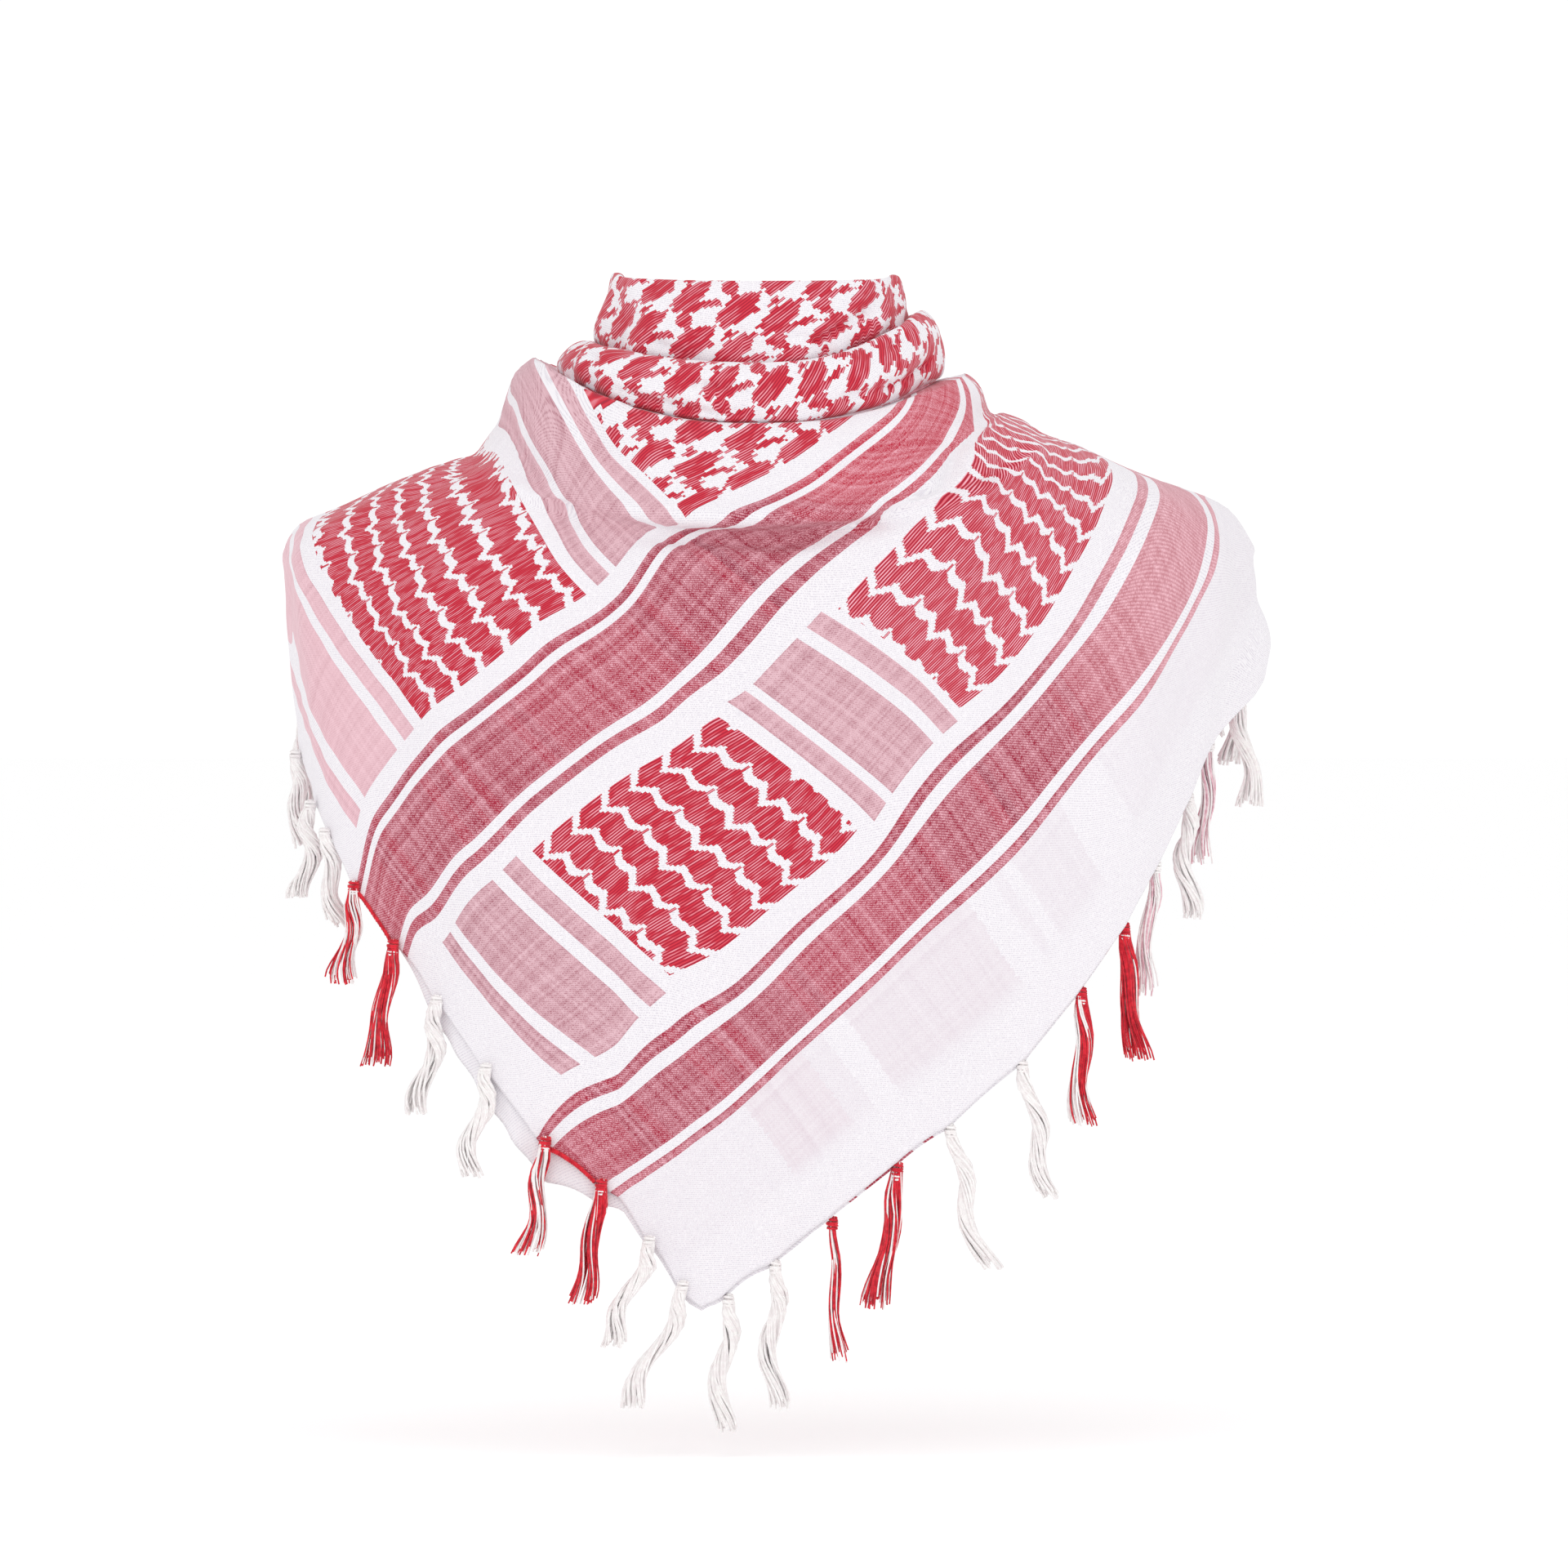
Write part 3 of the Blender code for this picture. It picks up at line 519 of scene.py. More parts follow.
# %% A socket that can be added, multiplied and compared
class Thread:
    """One output of a material's nodes, used like a number in sums."""

    def __init__(self, tree, out):
        self.tree, self.out = tree, out

    def node(self, kind, settings=(), inputs=(), output=0):
        made = self.tree.nodes.new(kind)
        for name, value in dict(settings).items():
            setattr(made, name, value)
        for key, value in dict(inputs).items():
            if isinstance(value, Thread):
                self.tree.links.new(value.out, made.inputs[key])
            else:
                made.inputs[key].default_value = value
        return Thread(self.tree, made.outputs[output])

    def math(self, operation, *values, clamp=False):
        settings = {"operation": operation, "use_clamp": clamp}
        return self.node("ShaderNodeMath", settings, enumerate(values))

    def __add__(self, other): return self.math("ADD", self, other)
    def __radd__(self, other): return self.math("ADD", other, self)
    def __sub__(self, other): return self.math("SUBTRACT", self, other)
    def __rsub__(self, other): return self.math("SUBTRACT", other, self)
    def __mul__(self, other): return self.math("MULTIPLY", self, other)
    def __truediv__(self, other): return self.math("DIVIDE", self, other)
    def __abs__(self): return self.math("ABSOLUTE", self)
    def __lt__(self, other): return self.math("LESS_THAN", self, other)
    def __gt__(self, other): return self.math("GREATER_THAN", self, other)

    def within(self, low, high):
        return self.math("COMPARE", self, (low + high) / 2, (high - low) / 2)

    def wave(self, length):
        """A cosine that repeats after a length."""
        return self.math("COSINE", self * (2 * math.pi / length))

    def eased(self, start, end):
        """Smoothly from nought at start to one at end."""
        return self.node("ShaderNodeMapRange", {"interpolation_type": "SMOOTHSTEP"},
                         {0: self, 1: start, 2: end})

    def ramp(self, stops):
        made = self.node("ShaderNodeValToRGB", inputs={0: self})
        made.out.node.color_ramp.interpolation = "CARDINAL"
        points = made.out.node.color_ramp.elements
        while len(points) < len(stops):
            points.new(0.5)
        for point, (place, grey) in zip(points, stops):
            point.position, point.color = place, (grey, grey, grey, 1)
        return made.node("ShaderNodeSeparateColor", inputs={0: made})

    def mix(self, first, second):
        """First colour where this is nought, second where it is one."""
        colours = {6: first, 7: second}
        return self.node("ShaderNodeMix", {"data_type": "RGBA"}, {0: self, **colours}, 2)


def linear(*rgb):
    """The colour that a screen shows with these three values of 255, as light."""
    parts = [c / 255 for c in rgb]
    return (*[c / 12.92 if c < 0.04045 else ((c + 0.055) / 1.055) ** 2.4 for c in parts], 1.0)


def new_material(name, roughness, sheen):
    made = bpy.data.materials.new(name)
    made.use_nodes = True
    shader = made.node_tree.nodes["Principled BSDF"]
    shader.inputs["Roughness"].default_value = roughness
    shader.inputs["Sheen Weight"].default_value = sheen
    shader.inputs["Sheen Roughness"].default_value = 0.5
    shader.inputs["Specular IOR Level"].default_value = 0.2
    return made, shader


print("a pale red as light:", np.round(linear(210, 172, 181), 3))

# %% [markdown]
# ## The woven pattern
# Red weft and white warp cross in stripes. Where red floats lie over the white the cloth is
# full red, as in the waves and stars; where they only tick over and under, it looks pink.
# Distances are in centimetres on the flat square, measured across the photograph. The square
# is the same from both ends, so each place is folded about its middle, 55 cm in.

# %% Bands, waves and stars
STRONG_BANDS = [(8.9, 9.35), (9.88, 12.98), (13.62, 14.2),
                (26.9, 27.43), (27.94, 32.04), (32.54, 33.1)]
PALE_BANDS = [(2.57, 3.42), (4.05, 7.14), (7.78, 8.64), (21.4, 22.3), (22.8, 26.2), (26.9, 27.9)]
BAR_BLOCK, CENTRE_BLOCK = (15.2, 25.9), (15.75, 25.45)   # v of the pale bars and of the waves
WAVE_BLOCK = (9.34, 20.66)
FIELD_U, FIELD_V = 28.4, 34.4     # the middle of the square starts here
THREAD = 0.135            # width of one float
WAVE_STEP, WAVE_REPEAT = 1.84, 4.2
WAVE_EDGES = [            # part of the repeat, then the white line's left and right edge, in cm
    (0, -0.20, 0.26), (0.04, 0.02, 0.46), (0.09, 0.20, 0.68), (0.155, 0.42, 0.94),
    (0.20, 0.46, 0.82), (0.28, 0.32, 0.74), (0.36, 0.26, 0.72), (0.43, 0.38, 0.82),
    (0.50, 0.60, 1.14), (0.545, 0.44, 0.92), (0.62, 0.30, 0.76), (0.70, 0.26, 0.74),
    (0.78, 0.36, 0.82), (0.835, 0.44, 0.94), (0.90, 0.24, 0.70), (0.96, 0.0, 0.48),
    (1.0, -0.20, 0.26)]
STAR_ACROSS, STAR_DOWN = 2.85, 3.65
STAR_LOBES = [            # centre across and down, half sizes, all in cells
    (0.0, 0.045, 0.46, 0.155), (-0.508, -0.526, 0.45, 0.14), (-0.830, -0.278, 0.15, 0.11),
    (-0.849, -0.100, 0.07, 0.11), (-0.766, 0.20, 0.08, 0.045), (-0.392, 0.268, 0.12, 0.055)]
STAR_ARMS = [((-0.760, -0.378), (-0.416, -0.312)), ((-0.416, -0.312), (-0.122, -0.189))]


def stripes(place, bands):
    total = 0
    for low, high in bands:
        total = place.within(low, high) + total
    return total


def folded(place):
    """Distance from the nearer end of the square."""
    return 55 - abs(55 - place)


def ragged(v, reach):
    """Each float ends a little before or after its neighbours."""
    row = v.math("SNAP", v, THREAD)
    chance = row.node("ShaderNodeTexWhiteNoise", {"noise_dimensions": "1D"}, {"W": row})
    return (chance - 0.5) * reach


def wave_floats(u, v):
    """One in the red floats of the waves, nought in the white scalloped lines."""
    step = v.math("SNAP", v, THREAD)
    turn = ((24.7 - step) / WAVE_REPEAT).math("FRACT", (24.7 - step) / WAVE_REPEAT)
    off = u + ragged(v, 0.12) + (24.7 - v) * 0.05 - 9.58
    left = turn.ramp([(place, (low + 1) / 3) for place, low, high in WAVE_EDGES]) * 3 - 1
    right = turn.ramp([(place, (high + 1) / 3) for place, low, high in WAVE_EDGES]) * 3 - 1
    near = off.math("WRAP", off, WAVE_STEP * 0.7, -WAVE_STEP * 0.3)
    white = (near > left) * (near < right)
    needle = (near < 0.95) * turn.within(0.494, 0.514)
    return 1 - white * (1 - needle)


def star_floats(u, v):
    """One in the red lobes that leave white stars between them."""
    step = v.math("SNAP", v, THREAD)
    across = (u + ragged(v, 0.42) - 29.35) / STAR_ACROSS
    down = (34.96 - step) / STAR_DOWN
    red = 0
    for x, y, half_x, half_y in STAR_LOBES:
        dx = across.math("WRAP", across - x, 0.5, -0.5) / half_x
        dy = down.math("WRAP", down - y, 0.5, -0.5) / half_y
        lobe = (abs(dx).math("POWER", abs(dx), 2.4) + abs(dy).math("POWER", abs(dy), 2.0)) < 1
        red = lobe if red == 0 else lobe.math("MAXIMUM", lobe, red)
    for (x0, y0), (x1, y1) in STAR_ARMS:
        dx = across.math("WRAP", across - (x0 + x1) / 2, 0.5, -0.5)
        dy = down.math("WRAP", down - (y0 + y1) / 2, 0.5, -0.5)
        arm = abs(dy - dx * ((y1 - y0) / (x1 - x0))) < 0.058
        red = arm.math("MAXIMUM", arm * (abs(dx) < (x1 - x0) / 2), red)
    return red


print(len(STRONG_BANDS), "strong bands,", len(PALE_BANDS), "pale ones,", len(STAR_LOBES), "lobes")

# %% [markdown]
# ## Cotton
# The pattern sets the colour, and a lattice 1.5 mm apart sets the ticks of the weave.
# The same lattice feeds a faint bump, because floats stand above the ground. The other half
# of the folded square shows faintly through the plain right-hand margin, so there the ground
# is a little greyer wherever a band lies behind it.

# %% Cotton material
WHITE = linear(247, 244, 247)
GREY_TICK = linear(200, 192, 205)
STRONG = linear(164, 38, 62)
STRONG_TICK = linear(242, 188, 200)
STRONG_DARK = linear(140, 40, 62)
STRONG_WARM = linear(192, 26, 56)
# A pale pink of painted sheen, for cloth that turns away from the front at the sides.
PAINTED_SIDE_SHEEN = linear(248, 208, 217)
PALE = linear(226, 186, 195)
PALE_TICK = linear(146, 62, 82)
FLOAT_RED = linear(210, 34, 56)
FLOAT_DARK = linear(156, 34, 56)
FLOAT_LIGHT = linear(242, 178, 192)
SHOW_THROUGH = linear(216, 199, 209)
WEAVE_STEP = 0.155
SHOWN_THROUGH = [         # u from, u to, and the share of the layer behind that shows through
    (0, 7.6, 0.25), (7.6, 11.5, 1.0), (11.5, 12.9, 0.45), (14.4, 22.7, 0.8), (24.4, 25.1, 0.35),
    (25.9, 29.5, 0.5), (32.6, 56, 0.3),
]


def cotton(name):
    made, shader = new_material(name, 0.86, 0.22)
    tree = made.node_tree
    start = Thread(tree, None)
    place = start.node("ShaderNodeUVMap", {"uv_map": "cloth"})
    parts = start.node("ShaderNodeSeparateXYZ", inputs={0: place}).out.node.outputs
    flat_u, flat_v = (Thread(tree, parts[i]) * 100 for i in (0, 1))
    u, v = folded(flat_u), folded(flat_v)

    strong, pale = stripes(v, STRONG_BANDS), stripes(u, PALE_BANDS)
    pale = pale * (v.within(*BAR_BLOCK) + (v > FIELD_V))
    crossing = strong * (stripes(u, PALE_BANDS) * 0.5 + stripes(u, STRONG_BANDS) * 0.5)
    centre_v = v.within(*CENTRE_BLOCK)
    waves = u.within(*WAVE_BLOCK) * (centre_v + (v > FIELD_V)) + (u > FIELD_U) * centre_v
    stars = (u > FIELD_U) * (v > FIELD_V)
    floats = waves * wave_floats(u, v) + stars * star_floats(u, v)

    slack = start.node("ShaderNodeTexNoise", inputs={"Vector": place, "Scale": 420.0})
    loose = (slack - 0.5) * 0.42
    lattice = (flat_u + loose).wave(WEAVE_STEP) * (flat_v - loose).wave(WEAVE_STEP)
    linen = 0
    for run, pace in ((flat_u, 4.6), (flat_v, 5.2), (flat_u, 1.5), (flat_v, 1.7)):
        linen = start.node("ShaderNodeTexNoise", {"noise_dimensions": "1D"},
                           {"W": run * pace, "Scale": 1.0, "Detail": 1.0}) - 0.5 + linen
    few, many = lattice.eased(0.2, 0.6) * 0.5 + 0.11, lattice.eased(-0.05, 0.4) * 0.6 + 0.15
    rib = flat_v.wave(THREAD) * 0.5 + 0.5
    strand = start.node("ShaderNodeTexNoise", {"noise_dimensions": "1D"},
                        {"W": flat_v * 16.0, "Detail": 2.0})

    behind = 0
    for start_u, end_u, share in SHOWN_THROUGH:
        behind = (u + loose * 1.5).within(start_u, end_u) * share + behind
    behind = behind * v.eased(9.0, 8.8) * v.eased(2.4, 4.2)
    tick = behind.mix(GREY_TICK, SHOW_THROUGH)
    ground = (few * (1 - behind * 0.5) + behind * (0.42 + linen * 0.22)).mix(WHITE, tick)
    pale_cloth = (few * 0.9 + v.eased(14, 18) * u.eased(9.4, 8.0) * 0.08
                  + linen * 0.42).mix(PALE, PALE_TICK)
    # Painted sheen: at the left, where the cloth turns away, the pale bands are mixed towards a
    # paler pink.
    pale_cloth = (v.eased(27, 36) * u.eased(9.4, 8.0) * 0.5).mix(pale_cloth, PAINTED_SIDE_SHEEN)
    # Some stretches of a band are warmer than the rest; where a band turns away at the right it is
    # paled with painted sheen.
    strong_ground = (crossing * 0.8).mix(STRONG, STRONG_DARK)
    strong_ground = (u.eased(31, 35) * v.eased(25, 27) * 0.8).mix(strong_ground, STRONG_WARM)
    streak = start.node("ShaderNodeTexNoise", {"noise_dimensions": "2D"}, {
        "Vector": start.node("ShaderNodeCombineXYZ", inputs={0: flat_u * 0.25, 1: flat_v * 1.6}),
        "Scale": 1.0, "Detail": 3.0})
    strong_cloth = (many * (0.60 + streak * 0.56) + linen * 0.42).mix(strong_ground, STRONG_TICK)
    # Painted sheen: the strong band is paled towards the right side, where the cloth turns away.
    strong_cloth = (u.eased(30, 40) * v.eased(16, 14) * 0.34).mix(strong_cloth, PAINTED_SIDE_SHEEN)
    patch = start.node("ShaderNodeTexNoise", {"noise_dimensions": "2D"}, {
        "Vector": start.node("ShaderNodeCombineXYZ", inputs={0: flat_u * 0.6, 1: flat_v * 4.2}),
        "Scale": 1.0, "Detail": 2.0}).eased(0.40, 0.60)
    float_cloth = (rib.eased(0.45, 0.9) * 0.8 + strand.eased(0.5, 0.7) * 0.2).mix(
        FLOAT_RED, FLOAT_DARK)
    hatch = (u > FIELD_U) * centre_v * 0.3 + 0.80 - patch * 0.75
    float_cloth = (rib.eased(0.55, 0.12) * hatch).mix(float_cloth, FLOAT_LIGHT)
    colour = pale.mix(ground, pale_cloth)
    colour = strong.mix(colour, strong_cloth)
    colour = floats.mix(colour, float_cloth)
    tree.links.new(colour.out, shader.inputs["Base Color"])

    height = lattice * 0.3 * (1 - floats) + floats * (0.5 + rib * 0.4)
    bump = start.node("ShaderNodeBump", inputs={"Strength": 0.25, "Distance": 0.0003,
                                                "Height": height})
    tree.links.new(bump.out, shader.inputs["Normal"])
    print(name, len(tree.nodes), "nodes")
    return made


woven_cotton = cotton("woven_cotton")

# %% [markdown]
# ## From a grid of points to a cloth
# Every cloth piece starts as Blender's own flat grid. Its vertices are moved to the places
# worked out above, the flat places become its UV map, and a Solidify modifier gives the wall.

# %% A cloth piece
CLOTH_WALL = 0.0010


def cloth_piece(name, points, places, finish, wall=CLOTH_WALL, closed=False):
    columns, rows = points.shape[:2]
    mesh = bmesh.new()
    bmesh.ops.create_grid(mesh, x_segments=columns - 1, y_segments=rows - 1, size=1)
    flat = mesh.loops.layers.uv.new("cloth")
    spot = {vert: (round((vert.co.x + 1) / 2 * (columns - 1)),
                   round((vert.co.y + 1) / 2 * (rows - 1))) for vert in mesh.verts}
    for face in mesh.faces:
        face.smooth = True
        for loop in face.loops:
            loop[flat].uv = places[spot[loop.vert]] / 100
    for vert, (i, j) in spot.items():
        vert.co = points[i, j]
    if closed:
        bmesh.ops.remove_doubles(mesh, verts=mesh.verts[:], dist=1e-5)
    bmesh.ops.recalc_face_normals(mesh, faces=mesh.faces[:])
    facing = sum(face.normal.dot(face.calc_center_median() * Vector((1, 1, 0)))
                 for face in mesh.faces)
    if facing < 0:
        bmesh.ops.reverse_faces(mesh, faces=mesh.faces[:])
    data = bpy.data.meshes.new(name)
    mesh.to_mesh(data)
    mesh.free()
    data.materials.append(finish)
    piece = bpy.data.objects.new(name, data)
    bpy.context.scene.collection.objects.link(piece)
    shell = piece.modifiers.new("wall", "SOLIDIFY")
    shell.thickness, shell.offset = wall, -1
    print(name, len(data.polygons), "faces,", round(sum(p.area for p in data.polygons), 4), "m2")
    return piece


# %% [markdown]
# ## Creases
# Worn cloth is never smooth: it dips where it is drawn tight between the neck and a shoulder,
# and stands up between dips. Each crease here is a short path with a breadth and a height, laid
# where the photograph shows one. The hidden back and sides get others of the same kind.

# %% Soft troughs and ridges
SEEN_CREASES = [      # part, breadth and height in mm, places in the photograph
    ("chest", 5, -4.5, [(742, 672), (800, 652), (860, 646), (950, 643), (1010, 645), (1050, 645)]),
    ("both", 5, -4.5, [(1066, 640), (1076, 631), (1102, 613), (1147, 599),
                       (1163, 572), (1170, 550), (1190, 530), (1212, 514), (1225, 508)]),
    ("cowl", 8, 2.4, [(700, 610), (780, 640), (860, 640), (950, 628), (1050, 622), (1120, 590)]),
    ("both", 9, -5.0, [(603, 520), (632, 552), (662, 588), (700, 640), (745, 682), (790, 700)]),
    ("both", 8, 2.6, [(622, 478), (660, 540), (706, 600), (760, 655)]),
    ("both", 7, -2.2, [(680, 462), (724, 528), (770, 585), (820, 620)]),
    ("cowl", 9, 2.0, [(720, 480), (780, 545), (850, 590)]),
    ("cowl", 8, -2.0, [(1190, 500), (1130, 545), (1050, 590), (960, 615)]),
    ("cowl", 9, 2.4, [(1160, 470), (1100, 520), (1020, 560), (930, 590)]),
    ("both", 12, -3.0, [(598, 545), (540, 590), (470, 640), (420, 720)]),
    ("both", 13, 2.5, [(640, 600), (580, 660), (520, 740), (480, 840)]),
    ("chest", 14, -2.6, [(770, 690), (735, 760), (690, 850), (660, 960)]),
    ("chest", 15, 3.0, [(850, 670), (830, 760), (780, 870), (740, 990)]),
    ("chest", 13, -2.4, [(930, 670), (915, 770), (880, 880), (860, 1010), (850, 1130)]),
    ("chest", 13, 2.2, [(1030, 660), (1010, 760), (980, 880), (960, 1020)]),
    ("chest", 12, -2.6, [(1120, 640), (1100, 740), (1060, 870), (1040, 1000), (1010, 1120)]),
    ("chest", 10, 2.8, [(1165, 605), (1160, 700), (1130, 820), (1100, 940)]),
    ("chest", 8, -3.4, [(1212, 520), (1225, 600), (1215, 700), (1190, 800)]),
    ("chest", 8, 3.6, [(1232, 505), (1262, 560), (1275, 640), (1262, 740)]),
    ("chest", 11, -2.0, [(1320, 560), (1340, 660), (1330, 780), (1290, 900)]),
    ("chest", 12, 2.0, [(1400, 590), (1420, 690), (1400, 820), (1350, 960)]),
    ("chest", 7, -2.2, [(1003, 1430), (990, 1475), (972, 1530), (950, 1570)]),
    ("chest", 9, 1.8, [(1030, 1400), (1020, 1450), (1000, 1520)]),
    ("chest", 12, 2.2, [(560, 1050), (600, 1150), (650, 1260), (690, 1360)]),
    ("chest", 12, -1.8, [(700, 1050), (740, 1160), (790, 1290), (820, 1400)]),
    ("chest", 11, -2.0, [(1180, 1000), (1150, 1100), (1110, 1220), (1080, 1330)]),
    ("chest", 13, 2.2, [(1260, 930), (1250, 1030), (1210, 1140), (1180, 1250)]),
]
HIDDEN_CREASES = [    # breadth and height in mm, angle round the body and row of the grid
    (9, -4.0, [(-96, 6), (-102, 30), (-100, 56), (-96, 90)]),
    (10, 3.4, [(-108, 8), (-114, 34), (-112, 66), (-108, 100)]),
    (9, -3.4, [(-124, 5), (-128, 30), (-124, 62), (-120, 96)]),
    (8, 3.0, [(-138, 8), (-142, 36), (-140, 70)]), (8, -2.8, [(-152, 10), (-156, 40), (-154, 84)]),
    (7, 2.6, [(-166, 10), (-172, 44), (-172, 90)]), (8, -3.2, [(102, 8), (106, 36), (104, 72)]),
    (10, 3.6, [(116, 6), (120, 36), (118, 90)]), (8, -3.2, [(130, 10), (134, 40), (130, 84)]),
    (9, 2.8, [(144, 8), (148, 40), (146, 90)]), (7, -2.4, [(158, 12), (162, 44), (160, 90)]),
]


PATH_SPOTS = 26


def grid_out(points):
    """Outward direction at each grid point."""
    normal = np.cross(np.gradient(points, axis=0), np.gradient(points, axis=1))
    normal /= np.linalg.norm(normal, axis=-1, keepdims=True) + 1e-12
    return normal * np.sign((normal * outward(points)).sum(-1, keepdims=True))


def crease(points, path, breadth, height):
    """Height of one crease at every point: full in its middle, fading at its ends."""
    path = np.array(path)
    length = np.concatenate([[0], np.cumsum(np.linalg.norm(np.diff(path, axis=0), axis=1))])
    even = np.linspace(0, length[-1], PATH_SPOTS)
    path = np.stack([np.interp(even, length, path[:, k]) for k in range(3)], -1)
    gap = np.full(points.shape[:2], 1e9)
    place = np.zeros(points.shape[:2])
    for number, spot in enumerate(path):
        near = ((points - spot) ** 2).sum(-1)
        place = np.where(near < gap, number / (PATH_SPOTS - 1), place)
        gap = np.minimum(gap, near)
    fade = np.minimum(smooth(place / 0.3), smooth((1 - place) / 0.35)) * 0.9 + 0.1
    return height * np.exp(-gap / breadth ** 2) * fade


def creased(points):
    """The drape with its creases and with the slight unevenness of soft cotton."""
    rows = row_number
    masks = {"chest": smooth((rows - seam_row + 0.4) / 0.8),
             "cowl": smooth((seam_row + 0.3 - rows) / 0.8), "both": 1.0}
    allowed = {"chest": on_chest, "cowl": on_cowl, "both": seen}
    lift = np.zeros(points.shape[:2])
    for part, breadth, height, places in SEEN_CREASES:
        path = [points[nearest(points, place, allowed[part])] for place in places]
        lift += masks[part] * crease(points, path, breadth / 1000, height / 1000)
    for breadth, height, places in HIDDEN_CREASES:
        path = [points[column_at(angle), row] for angle, row in places]
        lift += crease(points, path, breadth / 1000, height / 1000)
    u, v = on_square[..., 0], on_square[..., 1]
    lift += 0.00045 * np.sin(0.8 * u + 1.9 * np.sin(0.31 * v)) * np.sin(0.5 * v + 1.2)
    lift += 0.00025 * np.sin(2.1 * v + 1.5 * np.sin(0.9 * u))
    edge = smooth(rows / 1.5)
    return points + grid_out(points) * (lift * edge)[..., None]


LEFT_CREST, RIGHT_SWING = -84, 91       # degrees
CREST_RISE, CREST_BULGE, SWING_OUT = 0.0008, 0.0036, 0.0085
TIP_BLUNTNESS, TIP_REACH = 0.0045, 0.006


def side_shapes(points):
    """The rounded crest at the left of the neck and the hem that swings out at the right."""
    rows = row_number
    under_fold = np.exp(-((rows - COWL_TUCK_ROW) / 0.8) ** 2)
    under_fold = under_fold * smooth((drape_angles - 18) / 12)[:, None]
    fill = COWL_TUCK * 0.8 * cowl_weight(drape_angles)[:, None] * under_fold
    near = np.exp(-((drape_angles - LEFT_CREST) / 26) ** 2)[:, None]
    crest = CREST_RISE * near * smooth((4.0 - rows) / 2.4)
    bulge = CREST_BULGE * near * np.exp(-((rows - 2.8) / 0.9) ** 2)
    swing = np.exp(-((drape_angles - RIGHT_SWING) / 11) ** 2)[:, None] * smooth((rows - 16.5) / 4)
    return points + np.stack([0 * crest, 0 * crest, crest], -1) \
        + outward(points) * (SWING_OUT * swing + fill + bulge)[..., None]


drape = creased(side_shapes(drape))
tip_height = drape[..., 2].min()
drape[..., 2] += TIP_BLUNTNESS * np.exp(-((drape[..., 2] - tip_height) / TIP_REACH) ** 2)
print(len(SEEN_CREASES), "creases in view and", len(HIDDEN_CREASES), "behind")

# %% [markdown]
# ## Hems
# A tassel's knot pulls its hem outwards and down, so the fringed hem swings up a little between
# one knot and the next. The lowest rows of the grid are moved, less and less further up.

# %% Scalloped hem
def scalloped(points, knots, depth, reach_rows):
    """The hem drawn up between its knots."""
    columns = np.sort([int(np.linalg.norm(points[:, -1] - knot, axis=1).argmin())
                       for knot in knots])
    place = np.interp(np.arange(len(points)), columns, np.arange(len(columns)))
    between = 1 - abs(2 * (place % 1) - 1) ** 2.2
    between *= 0.75 + 0.25 * np.sin(place.astype(int) * 2.4)
    rows = np.arange(points.shape[1])
    hold = smooth((rows - (points.shape[1] - 1 - reach_rows)) / reach_rows)
    up = points[:, -4] - points[:, -1]
    up /= np.linalg.norm(up, axis=1, keepdims=True)
    return points + up[:, None] * (depth * between)[:, None, None] * hold[None, :, None]


knots = {side: [max((v.co for v in node.data.vertices), key=lambda co: co.z)
                for name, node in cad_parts.items() if name.startswith("tassel_" + side)]
         for side in ("left", "right")}
left_half = (drape_angles < TIP_ANGLE)[:, None, None]
LEFT_SCALLOP, RIGHT_SCALLOP = (0.0036, 9), (0.0014, 7)      # depth and rows of the grid it reaches
drape = np.where(left_half, scalloped(drape, knots["left"], *LEFT_SCALLOP),
                 scalloped(drape, knots["right"], *RIGHT_SCALLOP))
print("hem drawn up by", LEFT_SCALLOP[0], "m at the left and", RIGHT_SCALLOP[0], "at the right")

# %% [markdown]
# ## The drape becomes an object
# The finished grid is one sheet. It stands in for three solids, the front and both tails, since
# the real scarf has no seam between them.

# %% Drape
drape_cloth = cloth_piece("drape_cloth", drape, on_square, woven_cotton)
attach(drape_cloth, "root")
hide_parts("front_drape", "left_tail", "right_tail")

# %% [markdown]
# ## The two neck rolls
# The folded edge of the square winds round the neck twice. Cloth that is pushed down a neck
# gathers in slanting creases, so each roll is its rings with three slanting waves laid over them.
# Short narrow folds are then pressed in where the photograph shows them.

# %% Roll grids
TOP_CREASES = [        # breadth and height in mm, places in the photograph
    (2.2, -3.4, [(937, 387), (960, 410), (1000, 418), (1033, 400), (1062, 378), (1092, 352)]),
    (6, 2.4, [(925, 375), (955, 395), (1000, 402), (1040, 380), (1075, 350)]),
    (2.2, -3.2, [(756, 347), (776, 387), (807, 420), (860, 440)]),
    (6, 2.2, [(775, 350), (800, 392), (840, 424)]),
    (2.0, -2.6, [(862, 345), (880, 380), (912, 410), (935, 432)]),
    (5, 1.8, [(882, 345), (905, 380), (935, 405)]),
    (2.0, -2.6, [(1112, 372), (1086, 408), (1045, 434), (990, 444)]),
    (5, 2.0, [(1100, 365), (1070, 400), (1030, 424)]),
]
MIDDLE_CREASES = [
    (2.4, -3.6, [(705, 432), (733, 440), (787, 458), (853, 472), (913, 480), (973, 483)]),
    (6, 2.6, [(715, 425), (760, 438), (820, 452), (900, 462)]),
    (2.4, -3.4, [(1153, 407), (1133, 447), (1093, 473), (1040, 488), (980, 494)]),
    (6, 2.6, [(1145, 392), (1118, 432), (1075, 458), (1020, 470)]),
    (2.2, -3.0, [(1118, 398), (1093, 427), (1060, 448), (1010, 460), (950, 462)]),
    (2.2, -2.8, [(740, 470), (800, 492), (870, 506), (930, 511)]),
    (5, 2.0, [(730, 462), (800, 482), (880, 494)]),
]
GATHER, EAR_RISE = 0.0015, 0.0028       # metres


